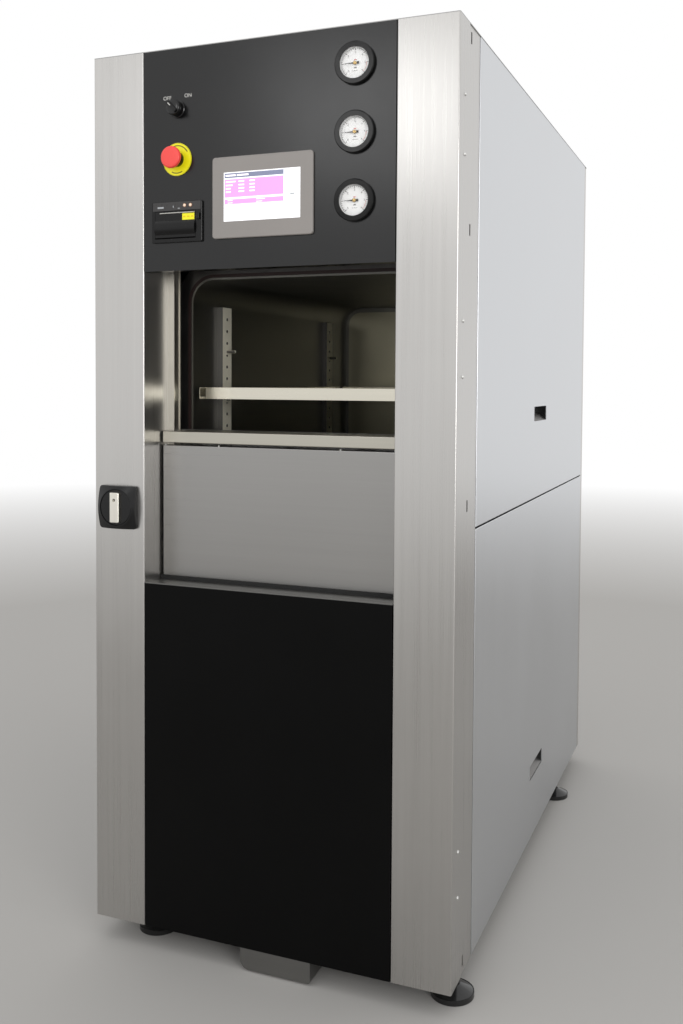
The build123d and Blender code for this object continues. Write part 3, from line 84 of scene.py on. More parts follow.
# %% Piece helpers
def grid_faces(rows, cols, wrap=False):
    """Quads that join a rows by cols sheet of points, closed around its columns when wrap is set."""
    r, c = np.meshgrid(np.arange(rows - 1), np.arange(cols if wrap else cols - 1), indexing="ij")
    nxt = (c + 1) % cols
    quads = np.stack([r * cols + c, r * cols + nxt, (r + 1) * cols + nxt, (r + 1) * cols + c], -1)
    return quads.reshape(-1, 4)


def turned(profile, x, z, steps=96, ripple=None):
    """A shape turned about a front-to-back axis: radius and depth pairs, listed from the back edge to the front.
    ripple(angle, row) multiplies the radius, for flutes."""
    profile = np.array(profile, float)
    angle = np.linspace(0.0, 2 * math.pi, steps, endpoint=False)
    radius = np.repeat(profile[:, :1], steps, 1)
    if ripple is not None:
        radius = radius * ripple(angle[None, :], np.arange(len(profile))[:, None])
    depth = np.repeat(profile[:, 1:], steps, 1)
    points = np.stack([x + radius * np.cos(angle), at(depth), z + radius * np.sin(angle)], -1)
    return points.reshape(-1, 3), [tuple(f) for f in grid_faces(len(profile), steps, True)]


def rect(x0, x1, z0, z1, depth):
    """A flat upright rectangle that faces the user."""
    y = at(depth)
    return np.array([(x0, y, z0), (x1, y, z0), (x1, y, z1), (x0, y, z1)]), [(0, 1, 2, 3)]


def arc_band(x, z, r0, r1, a0, a1, depth, steps=48):
    """A flat band between two radii and two angles in degrees, counted anticlockwise from three o'clock."""
    angle = np.radians(np.linspace(a0, a1, steps))
    rings = [np.stack([x + r * np.cos(angle), np.full(steps, at(depth)), z + r * np.sin(angle)], -1)
             for r in (r1, r0)]
    return np.concatenate(rings), [tuple(f) for f in grid_faces(2, steps)]


def link(obj):
    """Puts an object in the scene and returns it."""
    bpy.context.scene.collection.objects.link(obj)
    return obj


def lettering(text, x, z, size, depth):
    """Plain sans lettering as flat faces, centred on a point and facing the user."""
    curve = bpy.data.curves.new("lettering", "FONT")
    curve.body = text
    curve.size = size
    curve.align_x = "CENTER"
    curve.align_y = "CENTER"
    maker = link(bpy.data.objects.new("lettering", curve))
    bpy.context.view_layer.update()
    mesh = bpy.data.meshes.new_from_object(maker.evaluated_get(bpy.context.evaluated_depsgraph_get()))
    flat = np.empty(len(mesh.vertices) * 3)
    mesh.vertices.foreach_get("co", flat)
    flat = flat.reshape(-1, 3)
    points = np.stack([x + flat[:, 0], np.full(len(flat), at(depth)), z + flat[:, 1]], -1)
    faces = [tuple(p.vertices) for p in mesh.polygons]
    bpy.data.objects.remove(maker)
    bpy.data.meshes.remove(mesh)
    bpy.data.curves.remove(curve)
    return points, faces


def piece(name, parts, body, smooth=False):
    """Writes (points, faces, material) parts into one object that rides on a body."""
    points, faces, index, mats = [], [], [], []
    start = 0
    for pts, fcs, mat in parts:
        if mat not in mats:
            mats.append(mat)
        points.append(pts)
        faces += [tuple(int(i) + start for i in f) for f in fcs]
        index += [mats.index(mat)] * len(fcs)
        start += len(pts)
    mesh = bpy.data.meshes.new(name)
    mesh.from_pydata(np.concatenate(points).tolist(), [], faces)
    for mat in mats:
        mesh.materials.append(mat)
    mesh.polygons.foreach_set("material_index", index)
    mesh.polygons.foreach_set("use_smooth", [smooth] * len(faces))
    mesh.update()
    obj = link(bpy.data.objects.new(name, mesh))
    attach(obj, body)
    return obj


# %% [markdown]
# ## Materials
#
# Each finish is built from noise in object coordinates, so it keeps its real scale on every node. Brushed steel
# has three scales: fine scratches along the grain, broader streaks, and soft blotches of handling marks. On the
# upright sheets its highlight is stretched across the grain.

# %% Material helpers
METAL, PLAIN = 1.0, 0.0
SCRATCHES = (5.0, 1500.0)       # features per metre along and across the grain
STREAKS = (1.2, 120.0)
BLOTCHES = (2.6, 2.6, 2.2)
SCRATCH_DEPTH = 2e-5
ONE_RANGE = (0.3, 0.7)          # the middle range of one noise
TWO_RANGE = (0.7, 1.3)          # of two noises added up
THREE_RANGE = (1.1, 1.9)        # and of three


def add_node(mat, kind, values=None, **props):
    """Adds a shader node, sets its properties, and sets or links its inputs."""
    made = mat.node_tree.nodes.new(kind)
    for key, value in props.items():
        setattr(made, key, value)
    for key, value in (values or {}).items():
        if isinstance(value, bpy.types.NodeSocket):
            mat.node_tree.links.new(value, made.inputs[key])
        else:
            made.inputs[key].default_value = value
    return made


def finish(name, base, metallic, rough, **sockets):
    """A new material and its Principled shader with uniform values set on the shader itself."""
    mat = bpy.data.materials.new(name)
    mat.use_nodes = True
    mat.node_tree.nodes.clear()
    shader = add_node(mat, "ShaderNodeBsdfPrincipled")
    shader.inputs["Base Color"].default_value = (*base, 1.0)
    shader.inputs["Metallic"].default_value = metallic
    shader.inputs["Roughness"].default_value = rough
    for key, value in sockets.items():
        shader.inputs[key.replace("_", " ")].default_value = value
    out = add_node(mat, "ShaderNodeOutputMaterial")
    mat.node_tree.links.new(shader.outputs["BSDF"], out.inputs["Surface"])
    return mat, shader


def noise(mat, scale, detail=2.0, rough=0.5, warp=0.0):
    """Noise in object coordinates with its own scale on each axis, in features per metre."""
    coords = add_node(mat, "ShaderNodeTexCoord")
    mapped = add_node(mat, "ShaderNodeMapping", {"Vector": coords.outputs["Object"], "Scale": scale})
    made = add_node(mat, "ShaderNodeTexNoise", {"Vector": mapped.outputs["Vector"], "Scale": 1.0, "Detail": detail,
                                               "Roughness": rough, "Distortion": warp})
    return made.outputs["Fac"]


def remap(mat, source, limits, low=0.0, high=1.0):
    """Stretches the range of a value between two limits to a new low and high."""
    made = add_node(mat, "ShaderNodeMapRange", {"Value": source, "From Min": limits[0], "From Max": limits[1],
                                               "To Min": low, "To Max": high})
    return made.outputs["Result"]


def sum_of(mat, a, b):
    """Two values added."""
    return add_node(mat, "ShaderNodeMath", {0: a, 1: b}, operation="ADD").outputs["Value"]


def tinted(mat, shader, factor, dark, light, sockets=("Base Color",)):
    """A colour that runs between two tones by a factor, linked to the shader's colour sockets."""
    made = add_node(mat, "ShaderNodeMix", {0: factor, 6: (*dark, 1.0), 7: (*light, 1.0)}, data_type="RGBA")
    for socket in sockets:
        mat.node_tree.links.new(made.outputs[2], shader.inputs[socket])


def shades(base, contrast):
    """The darkest and the lightest tone of a colour at a contrast."""
    return tuple(c * (1.0 - contrast) for c in base), tuple(min(1.0, c * (1.0 + contrast)) for c in base)


def varied(mat, shader, source, limits, rough, spread):
    """Roughness that runs to both sides of its middle with a source."""
    roughness = remap(mat, source, limits, rough - spread, rough + spread)
    mat.node_tree.links.new(roughness, shader.inputs["Roughness"])


def bumped(mat, shader, height, distance):
    """A bump from a height value, with its depth in metres."""
    made = add_node(mat, "ShaderNodeBump", {"Height": height, "Distance": distance, "Strength": 1.0})
    mat.node_tree.links.new(made.outputs["Normal"], shader.inputs["Normal"])


def brushed(name, base, grain, rough, spread, contrast, stretch=0.0):
    """Brushed sheet whose scratches run along the axis named by grain. stretch widens the highlight of upright
    sheet across its scratches."""
    mat, shader = finish(name, base, METAL, rough, Anisotropic=stretch)
    scratches = noise(mat, tuple(SCRATCHES[axis != grain] for axis in "xyz"), 2.0, 0.6)
    streaks = noise(mat, tuple(STREAKS[axis != grain] for axis in "xyz"), 3.0, 0.55)
    blotches = noise(mat, BLOTCHES, 4.0, 0.55, 0.4)
    mixed = sum_of(mat, sum_of(mat, scratches, streaks), blotches)
    tinted(mat, shader, remap(mat, mixed, THREE_RANGE), *shades(base, contrast))
    varied(mat, shader, mixed, THREE_RANGE, rough, spread)
    bumped(mat, shader, sum_of(mat, scratches, streaks), SCRATCH_DEPTH)
    if stretch:
        tangent = add_node(mat, "ShaderNodeTangent", direction_type="RADIAL", axis="Z")
        mat.node_tree.links.new(tangent.outputs["Tangent"], shader.inputs["Tangent"])
    return mat


def satin(name, base, metallic, rough, spread, contrast, scale, grit, depth, **sockets):
    """An even surface with a fine grit in its bump and soft variation in tone and gloss. scale and grit are in
    features per metre, and depth is the grit's."""
    mat, shader = finish(name, base, metallic, rough, **sockets)
    soft = noise(mat, (scale, scale, scale), 4.0, 0.55)
    fine = noise(mat, (grit, grit, grit), 2.0, 0.6)
    tinted(mat, shader, remap(mat, sum_of(mat, soft, fine), TWO_RANGE), *shades(base, contrast))
    varied(mat, shader, soft, ONE_RANGE, rough, spread)
    bumped(mat, shader, fine, depth)
    return mat


def ink(name, base, rough=0.5):
    """Printed ink."""
    return satin(name, base, PLAIN, rough, 0.05, 0.05, 200.0, 3000.0, 2e-6)


def glowing(name, colour, strength):
    """A lit display colour with a faint pixel weave."""
    mat, shader = finish(name, colour, PLAIN, 0.25, Emission_Strength=strength)
    weave = noise(mat, (2400.0, 2400.0, 2400.0), 1.0, 0.5)
    dimmed = tuple(c * 0.94 for c in colour)
    tinted(mat, shader, remap(mat, weave, ONE_RANGE), dimmed, colour, ("Emission Color", "Base Color"))
    return mat


# %% Brushed sheet: colour, grain, roughness and its spread, contrast, stretch
pillar_steel = brushed("pillar_steel", (0.53, 0.519, 0.503), "z", 0.30, 0.04, 0.045, 0.55)
side_steel = brushed("side_steel", (0.60, 0.612, 0.63), "z", 0.32, 0.04, 0.035, 0.5)
# The top panel's steel is darker than the pillars' steel: painted shade, so that its top face shows less reflected
# light.
top_steel_painted_shade = brushed("top_steel_painted_shade", (0.36, 0.356, 0.35), "y", 0.46, 0.04, 0.04)
# The door skin's steel is darker than the pillars' steel: painted shade of its recess between the pillars and under
# the control panel.
door_steel_painted_shade = brushed("door_steel_painted_shade", (0.34, 0.333, 0.323), "x", 0.30, 0.03, 0.03)
rail_steel = brushed("rail_steel", (0.49, 0.47, 0.41), "x", 0.32, 0.04, 0.04)
# The sill and drain trough take a much darker copy of the steel: painted shade along the foot of the door.
sill_steel_painted_shade = brushed("sill_steel_painted_shade", (0.22, 0.218, 0.21), "x", 0.40, 0.04, 0.04)
shelf_steel = brushed("shelf_steel", (0.66, 0.63, 0.54), "x", 0.24, 0.04, 0.05)
grip_metal = brushed("grip_metal", (0.80, 0.77, 0.70), "z", 0.24, 0.04, 0.06, 0.3)

# %% Even finishes: colour, metallic, roughness and its spread, contrast, blotches, grit and its depth
# The chamber's steel is darkened to the dark of its deep inside: painted shade.
chamber_steel = satin("chamber_steel", (0.25, 0.246, 0.225), METAL, 0.38, 0.04, 0.06, 9.0, 500.0, 4e-6)
# A nearly black steel whose colour is painted shade and dark reflection; it dresses the chamber flange, the finger
# pulls and the front faces of the shelf uprights.
painted_shade_steel = satin("painted_shade_steel", (0.16, 0.155, 0.15), METAL, 0.38, 0.05, 0.08, 20.0, 700.0, 8e-6)
baffle_steel = satin("baffle_steel", (0.46, 0.435, 0.33), METAL, 0.34, 0.04, 0.05, 9.0, 500.0, 4e-6)
guide_steel = satin("guide_steel", (0.50, 0.48, 0.43), METAL, 0.34, 0.04, 0.05, 20.0, 700.0, 6e-6)
# The shelf uprights' pale warm steel is a painted highlight on their sides; their front faces take the nearly black
# steel as painted shade.
rack_steel_painted_light = satin("rack_steel_painted_light", (0.86, 0.82, 0.68), 0.25, 0.42, 0.05, 0.06, 30.0, 900.0, 1e-5)
frame_steel = satin("frame_steel", (0.50, 0.49, 0.48), METAL, 0.42, 0.08, 0.1, 20.0, 700.0, 2e-5)
zinc_steel = satin("zinc_steel", (0.62, 0.62, 0.60), METAL, 0.30, 0.08, 0.1, 300.0, 3000.0, 1e-5)
# Near black for the inside of the finger pulls: painted shade of the recess.
pull_painted_shade = satin("pull_painted_shade", (0.05, 0.05, 0.05), METAL, 0.30, 0.05, 0.08, 60.0, 900.0, 1e-5)
tear_metal = satin("tear_metal", (0.85, 0.84, 0.80), METAL, 0.30, 0.05, 0.05, 200.0, 2500.0, 5e-6)
brass = satin("brass", (0.60, 0.42, 0.17), METAL, 0.28, 0.06, 0.08, 120.0, 1500.0, 2e-5)
boiler_foil = satin("boiler_foil", (0.72, 0.72, 0.73), METAL, 0.34, 0.08, 0.08, 160.0, 500.0, 4e-4)
barrel_aluminium = satin("barrel_aluminium", (0.66, 0.67, 0.68), METAL, 0.30, 0.05, 0.05, 90.0, 1500.0, 1e-5)
pump_paint = satin("pump_paint", (0.06, 0.10, 0.16), PLAIN, 0.42, 0.06, 0.12, 40.0, 900.0, 8e-5)
cabinet_paint = satin("cabinet_paint", (0.42, 0.43, 0.42), PLAIN, 0.55, 0.05, 0.05, 40.0, 1400.0, 6e-5)
panel_black = satin("panel_black", (0.0022, 0.0022, 0.0022), PLAIN, 0.36, 0.03, 0.10, 6.0, 1100.0, 3e-5,
                    Specular_IOR_Level=0.09)
control_black = satin("control_black", (0.0016, 0.0017, 0.002), PLAIN, 0.22, 0.02, 0.10, 6.0, 1100.0, 1e-5)
gauge_black = satin("gauge_black", (0.002, 0.002, 0.002), PLAIN, 0.15, 0.03, 0.10, 60.0, 1100.0, 4e-6,
                    Specular_IOR_Level=0.25)
plastic_black = satin("plastic_black", (0.004, 0.004, 0.0043), PLAIN, 0.22, 0.04, 0.12, 120.0, 3200.0, 6e-6,
                      Specular_IOR_Level=0.35)
printer_black = satin("printer_black", (0.003, 0.003, 0.0032), PLAIN, 0.24, 0.04, 0.12, 120.0, 3200.0, 6e-6,
                      Specular_IOR_Level=0.3)
bezel_chrome = satin("bezel_chrome", (0.004, 0.004, 0.0045), PLAIN, 0.12, 0.03, 0.04, 200.0, 2500.0, 3e-6)
foot_black = satin("foot_black", (0.012, 0.012, 0.012), PLAIN, 0.22, 0.05, 0.2, 60.0, 900.0, 2e-5)
needle_black = satin("needle_black", (0.012, 0.012, 0.012), PLAIN, 0.5, 0.05, 0.1, 200.0, 3000.0, 5e-6)
wiper_rubber = satin("wiper_rubber", (0.008, 0.008, 0.008), PLAIN, 0.7, 0.08, 0.2, 200.0, 2500.0, 3e-5)
seal_silicone = satin("seal_silicone", (0.022, 0.010, 0.009), PLAIN, 0.5, 0.08, 0.2, 120.0, 1800.0, 3e-5)
plastic_grey = satin("plastic_grey", (0.27, 0.25, 0.236), PLAIN, 0.38, 0.05, 0.05, 12.0, 3200.0, 1e-5)
strip_grey = satin("strip_grey", (0.032, 0.030, 0.030), PLAIN, 0.30, 0.04, 0.08, 120.0, 3200.0, 6e-6)
stop_red = satin("stop_red", (0.90, 0.072, 0.062), PLAIN, 0.34, 0.05, 0.04, 80.0, 2500.0, 1e-5)
legend_yellow = satin("legend_yellow", (0.93, 0.88, 0.006), PLAIN, 0.40, 0.05, 0.03, 80.0, 2500.0, 1e-5)
dial_white = satin("dial_white", (0.93, 0.93, 0.92), PLAIN, 0.45, 0.05, 0.03, 120.0, 2500.0, 5e-6)
paper_white = satin("paper_white", (0.80, 0.80, 0.77), PLAIN, 0.8, 0.05, 0.04, 150.0, 3000.0, 2e-5)
# The printer lamps' colours carry painted warm light: a peach-white highlight on each cap and a red-brown reflection
# on the socket round it.
lamp_painted_highlight = satin("lamp_painted_highlight", (1.0, 0.78, 0.60), PLAIN, 0.25, 0.05, 0.03, 300.0, 3000.0, 5e-6)
lamp_socket_painted_reflection = satin("lamp_socket_painted_reflection", (0.28, 0.12, 0.06), PLAIN, 0.4, 0.05, 0.05, 300.0, 3000.0, 5e-6)

# %% Inks, display colours and glass
mark_black = ink("mark_black", (0.02, 0.02, 0.02), 0.6)
mark_olive = ink("mark_olive", (0.16, 0.14, 0.01))
mark_amber = ink("mark_amber", (0.85, 0.50, 0.01))
mark_white = ink("mark_white", (0.62, 0.61, 0.58), 0.55)
mark_grey = ink("mark_grey", (0.40, 0.42, 0.44))
mark_red = ink("mark_red", (0.55, 0.03, 0.02))
display = glowing("display", (0.97, 0.97, 1.0), 0.55)
display_header = glowing("display_header", (0.20, 0.22, 0.33), 0.3)
display_table = glowing("display_table", (0.98, 0.36, 0.98), 0.35)
display_text = glowing("display_text", (1.0, 0.92, 1.0), 0.55)
display_dark = glowing("display_dark", (0.42, 0.44, 0.46), 0.4)
display_faint = glowing("display_faint", (0.80, 0.81, 0.83), 0.45)
lens_glass, _ = finish("lens_glass", (1.0, 1.0, 1.0), PLAIN, 0.02, IOR=1.45, Transmission_Weight=1.0, Alpha=0.16)

# %% [markdown]
# ## Dressing the CAD nodes
#
# A node takes the look of its slot in the record, unless the photograph shows that node in a finish of its own. The
# switch's bezel is one such: its slot names chrome, and it is glossy black. Several steel nodes take darker copies of
# the steel instead, whose colour is painted shade: the top panel, door skin, sill, drain trough, chamber flange and
# finger pulls; the shelf uprights take a paler copy on their sides as painted highlight.

# %% Looks by slot and by node
SLOT_LOOK = {
    "stainless": pillar_steel, "chamber_steel": chamber_steel, "frame_steel": frame_steel,
    "panel_black": panel_black, "foot_black": foot_black, "zinc_steel": zinc_steel, "wiper_rubber": wiper_rubber,
    "seal_silicone": seal_silicone, "plastic_black": plastic_black, "plastic_grey": plastic_grey,
    "display": display, "stop_red": stop_red, "legend_yellow": legend_yellow, "dial_white": dial_white,
    "lens_glass": lens_glass, "needle_black": needle_black, "grip_metal": grip_metal,
    "bezel_chrome": bezel_chrome, "paper_white": paper_white, "brass": brass, "boiler_jacket": boiler_foil,
    "pump_paint": pump_paint, "cabinet_paint": cabinet_paint, "barrel_aluminium": barrel_aluminium,
}
NODE_LOOK = {
    "upper_side_panels": side_steel, "lower_side_panels": side_steel, "rear_panel": side_steel,
    "top_panel": top_steel_painted_shade, "finger_pulls": painted_shade_steel, "door_skin": door_steel_painted_shade, "door_head_rail": rail_steel,
    "door_guides": guide_steel, "door_sill": sill_steel_painted_shade, "drain_trough": sill_steel_painted_shade, "shelf": shelf_steel,
    "shelf_runners": shelf_steel, "shelf_uprights": rack_steel_painted_light, "chamber_flange": painted_shade_steel,
    "chamber_baffle": baffle_steel, "control_panel": control_black, "switch_body": bezel_chrome,
    "gauge_cases": gauge_black, "printer_body": printer_black, "printer_cover": printer_black,
    "printer_release": printer_black,
}
for entry in frame["record"]["subparts"]:
    look = NODE_LOOK.get(entry["node"], SLOT_LOOK[entry["material_slot"]])
    obj = NODES[entry["node"]]
    if not obj.material_slots:
        obj.data.materials.append(look)
    for place in obj.material_slots:
        place.material = look


def dress_faces(node, axis, low, high, look):
    """Gives another finish to the faces of a node whose normal along an axis lies between two limits."""
    mesh = NODES[node].data
    flat = np.empty(len(mesh.polygons) * 3)
    mesh.polygons.foreach_get("normal", flat)
    value = flat.reshape(-1, 3)[:, axis]
    mesh.materials.append(look)
    index = np.where((value >= low) & (value <= high), len(mesh.materials) - 1, 0)
    mesh.polygons.foreach_set("material_index", index.astype(np.int32))


AXIS_Y, AXIS_Z = 1, 2
# The finger pulls' faces that do not face up are near black: painted shade of the recess, while the upward faces keep
# the darkened steel.
dress_faces("finger_pulls", AXIS_Z, -1.0, 0.3, pull_painted_shade)
# The uprights' faces towards the user take the nearly black steel: painted shade, against the painted highlight on
# their sides.
dress_faces("shelf_uprights", AXIS_Y, -1.0, -0.5, painted_shade_steel)
print("materials", len(bpy.data.materials))

# %% [markdown]
# ## Gauge dials
#
# Each dial has a scale from lower left round to lower right, with plain numbers and long and short ticks. A red arc
# marks the end of the scale, a small one stands above the hub, and two dark bars lie below it. A brass-coloured cap
# covers the needle's hub.

# %% Gauge marks
DIAL_R = 0.0256
SCALE_START, SCALE_SWEEP = 225.0, 270.0
SCALE_LINE = 0.0005
TICKS, NUMBERED_TICK = 30, 5
LONG_TICK, SHORT_TICK = (0.0042, 0.00045), (0.0024, 0.00025)            # length and half width
NUMBER_SIZE, NUMBER_GAP = 0.0052, 0.0034
END_ARC = (DIAL_R - 0.0052, DIAL_R - 0.0046, -45.0, 0.0)                # two radii and two angles
HUB_ARC = (0.0052, 0.0066, 68.0, 112.0)
LONG_BAR, SHORT_BAR = (0.005, -0.0132, -0.0126), (0.0022, -0.0085, -0.0068)     # half width and two heights
NEEDLE_CAP = ((0.0033, -0.0040), (0.0033, -0.0045), (0.0026, -0.0048), (0.0, -0.0049))


def dial_scale(z, depth):
    """The line, ticks and numbers of a dial's scale."""
    parts = [(*arc_band(GAUGE_X, z, DIAL_R - SCALE_LINE, DIAL_R, SCALE_START - SCALE_SWEEP, SCALE_START, depth),
              mark_black)]
    centre = np.array([GAUGE_X, at(depth), z])
    for i in range(TICKS + 1):
        angle = math.radians(SCALE_START - SCALE_SWEEP * i / TICKS)
        numbered = i % NUMBERED_TICK == 0
        length, half = LONG_TICK if numbered else SHORT_TICK
        out = np.array([math.cos(angle), 0.0, math.sin(angle)])
        side = np.array([-math.sin(angle), 0.0, math.cos(angle)]) * half
        inner, outer = centre + out * (DIAL_R - length), centre + out * DIAL_R
        parts.append((np.array([inner + side, inner - side, outer - side, outer + side]), [(0, 1, 2, 3)], mark_black))
        if numbered:
            reach = DIAL_R - length - NUMBER_GAP
            number = lettering(str(i // NUMBERED_TICK), GAUGE_X + out[0] * reach, z + out[2] * reach, NUMBER_SIZE,
                               depth)
            parts.append((*number, mark_black))
    return parts


def dial_bar(z, half, low, high, depth):
    """A short dark bar below the hub."""
    return (*rect(GAUGE_X - half, GAUGE_X + half, z + low, z + high, depth), mark_black)


for gauge_z, gauge_name in zip(GAUGE_Z, ("upper", "middle", "lower")):
    face = DIAL_FACE - PRINT
    marks = dial_scale(gauge_z, face) + [(*arc_band(GAUGE_X, gauge_z, *END_ARC, face, 16), mark_red),
                                         dial_bar(gauge_z, *LONG_BAR, face),
                                         (*arc_band(GAUGE_X, gauge_z, *HUB_ARC, face, 12), mark_red),
                                         dial_bar(gauge_z, *SHORT_BAR, face)]
    piece(f"{gauge_name}_gauge_marks", marks, "cabinet")
    cap = [(*turned(NEEDLE_CAP, GAUGE_X, gauge_z, 32), brass)]
    piece(f"{gauge_name}_needle_cap", cap, f"needle_{gauge_name}", True)

# %% [markdown]
# ## Switches
#
# The selector has its OFF and ON marks on the panel, a glossy shoulder round its grip and a white index on the grip.
# The stop button's head gets a nearly flat face with a rounded rim and shallow flutes round its widest part. The
# yellow plate has a rim line, and a plain arc above and below where words would be.

# %% Selector marks, shoulder and index
WORD_SIZE = 0.0098
WORDS = (("OFF", -0.0215, 0.0215), ("ON", 0.0225, 0.0230))      # text, and its place from the knob's middle
words = [(*lettering(word, -COLUMN_X + dx, SWITCH_Z + dz, WORD_SIZE, -PRINT), mark_white) for word, dx, dz in WORDS]
piece("switch_marks", words, "cabinet")

SHOULDER = ((0.0139, -0.0130), (0.0139, -0.0158), (0.0134, -0.0172), (0.0122, -0.0181), (0.0090, -0.0185),
            (0.0, -0.0187))
shoulder = [(*turned(SHOULDER, -COLUMN_X, SWITCH_Z, 64), bezel_chrome)]
piece("knob_shoulder", shoulder, "power_selector", True)

INDEX_INNER, INDEX_OUTER, INDEX_HALF = 0.0025, 0.0098, 0.0008
along = np.array([-math.sin(KNOB_REST), 0.0, math.cos(KNOB_REST)])
across = np.array([math.cos(KNOB_REST), 0.0, math.sin(KNOB_REST)])
knob_centre = np.array([-COLUMN_X, at(KNOB_FACE - PRINT), SWITCH_Z])
knob_mark = np.array([knob_centre + along * r + across * s for r, s in
                      ((INDEX_INNER, -INDEX_HALF), (INDEX_INNER, INDEX_HALF), (INDEX_OUTER, INDEX_HALF),
                       (INDEX_OUTER, -INDEX_HALF))])
piece("knob_index", [(knob_mark, [(0, 1, 2, 3)], mark_white)], "power_selector")

# %% Stop head and the marks on its plate
HEAD_R = 0.020
HEAD_RIM = ((0.0142, -0.0162), (0.0152, -0.0164), (0.0182, -0.0184), (0.0196, -0.0200), (HEAD_R, -0.0216),
            (HEAD_R, -0.0243), (0.0197, -0.0256), (0.0191, -0.0266), (0.0181, -0.0273), (0.0166, -0.0277),
            (0.0130, -0.02785), (0.0090, -0.02792), (0.0045, -0.02797), (0.0, -0.0280))
FLUTES, FLUTE_ROW, FLUTE_DEPTH = 16, 4.0, 0.016


def flutes(angle, row):
    """Shallow finger flutes round the widest rows of the head, fading out above and below."""
    depth = np.exp(-(row - FLUTE_ROW) ** 2) * FLUTE_DEPTH
    return 1.0 - depth * (0.5 + 0.5 * np.cos(FLUTES * angle)) ** 3


head_parts = [(*turned(HEAD_RIM, -COLUMN_X, STOP_Z, 144, flutes), stop_red)]
stop_cap = piece("stop_head_cap", head_parts, "stop_button", True)
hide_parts("stop_head")

RIM_LINE = (0.0291, 0.0294, 0.0, 360.0)
WORD_BAND = (0.0241, 0.0260)
WORD_ARCS = ((30.0, 150.0), (244.0, 296.0))
plate_face = LEGEND_FACE - PRINT
plate_marks = [(*arc_band(-COLUMN_X, STOP_Z, *RIM_LINE, plate_face, 96), mark_olive)]
plate_marks += [(*arc_band(-COLUMN_X, STOP_Z, *WORD_BAND, *arc, plate_face, 40), mark_olive) for arc in WORD_ARCS]
piece("stop_legend_marks", plate_marks, "cabinet")

# %% [markdown]
# ## Printer front
#
# The strip above the paper cover has two lamps with their sockets and three small pale marks. The warm light on the
# lamps is painted into their colour: a highlight on each cap and a reflection on each socket. The tear bar is a thin
# bright ledge along the cover's top edge, and a plain yellow label sits under it. The lamps are turned caps with a
# rounded face.

# %% Printer marks and lamps
STRIP = -0.005
STRIP_PLATE = (-0.2265, -0.1255, 1.4062, 1.4218)
STRIP_MARKS = ((-0.2165, -0.2035, 1.4108, 1.4138), (-0.1836, -0.1822, 1.4110, 1.4150),
               (-0.1735, -0.1690, 1.4090, 1.4104))
LAMP_X, LAMP_Z = (-0.1590, -0.1467), 1.4146
SOCKET = ((0.0036, STRIP + 0.0004), (0.0036, STRIP - 0.0003), (0.0032, STRIP - 0.0006), (0.0027, STRIP - 0.0006))
LAMP_CAP = ((0.0027, STRIP + 0.0004), (0.0027, STRIP - 0.0008), (0.0023, STRIP - 0.0013), (0.0015, STRIP - 0.0016),
            (0.0, STRIP - 0.0017))
strip_parts = [(*rect(*STRIP_PLATE, STRIP - PRINT / 2), strip_grey)]
strip_parts += [(*rect(*mark, STRIP - PRINT), mark_grey) for mark in STRIP_MARKS]
for lamp_x in LAMP_X:
    strip_parts += [(*turned(SOCKET, lamp_x, LAMP_Z, 40), lamp_socket_painted_reflection),
                    (*turned(LAMP_CAP, lamp_x, LAMP_Z, 40), lamp_painted_highlight)]
piece("printer_strip_marks", strip_parts, "cabinet", True)

TEAR_X = (-0.2112, -0.1372)
TEAR = ((STRIP, 1.4004), (STRIP - 0.0011, 1.4009), (STRIP - 0.0016, 1.4016), (STRIP - 0.0011, 1.4023),
        (STRIP, 1.4028))
TEAR_ENDS = [(4, 3, 2, 1, 0), (5, 6, 7, 8, 9)]
LABEL = (-0.1640, -0.1385, 1.3880, 1.3998)
LABEL_MARK_X, LABEL_MARK_HALF, LABEL_MARK_Z = (-0.1595, -0.1513, -0.1431), 0.0024, (1.3930, 1.3950)
bar = np.array([(x, at(d), z) for x in TEAR_X for d, z in TEAR])
bar_parts = [(bar, [tuple(f) for f in grid_faces(2, len(TEAR))] + TEAR_ENDS, tear_metal),
             (*rect(*LABEL, STRIP - PRINT), legend_yellow)]
bar_parts += [(*rect(x - LABEL_MARK_HALF, x + LABEL_MARK_HALF, *LABEL_MARK_Z, STRIP - 2 * PRINT), mark_amber)
              for x in LABEL_MARK_X]
piece("paper_cover_marks", bar_parts, "paper_cover")

# %% [markdown]
# ## Touch screen
#
# A generic process page on white: a grey-blue header, a pink table with bars in place of words, a second pink
# strip, and a white key column with a small mark. The bars stand for text and spell nothing.

# %% Screen layout
SCREEN = (-0.0775, 0.0745, 1.380, 1.468)
BEZEL_PROUD, GLASS_SUNK = 0.006, 0.0008
LAYER = -BEZEL_PROUD + GLASS_SUNK - PRINT
FIELDS = (      # left, right, bottom and top in fractions of the display, colour, layer
    (0.012, 0.785, 0.882, 0.978, display_header, 1), (0.025, 0.160, 0.914, 0.948, display_text, 2),
    (0.175, 0.330, 0.914, 0.948, display_text, 2), (0.012, 0.785, 0.488, 0.855, display_table, 1),
    (0.012, 0.785, 0.348, 0.446, display_table, 1), (0.868, 0.922, 0.462, 0.502, display_dark, 1),
    (0.876, 0.914, 0.512, 0.545, display_faint, 1), (0.175, 0.225, 0.158, 0.174, display_faint, 1),
    (0.565, 0.615, 0.162, 0.178, display_faint, 1),
)
TABLE_ROWS = ((0.804, 0.160), (0.733, 0.120), (0.665, 0.095), (0.599, 0.095))   # height, end of the first bar
TABLE_FIRST, TABLE_COLUMNS = 0.028, ((0.197, 0.274), (0.343, 0.413))
STRIP_ROWS = ((0.422, 0.545), (0.374, 0.510))                                   # height, end of the last bar
STRIP_FIRST, STRIP_LAST = (0.052, 0.120), 0.430
TABLE_HALF, STRIP_HALF = 0.015, 0.008


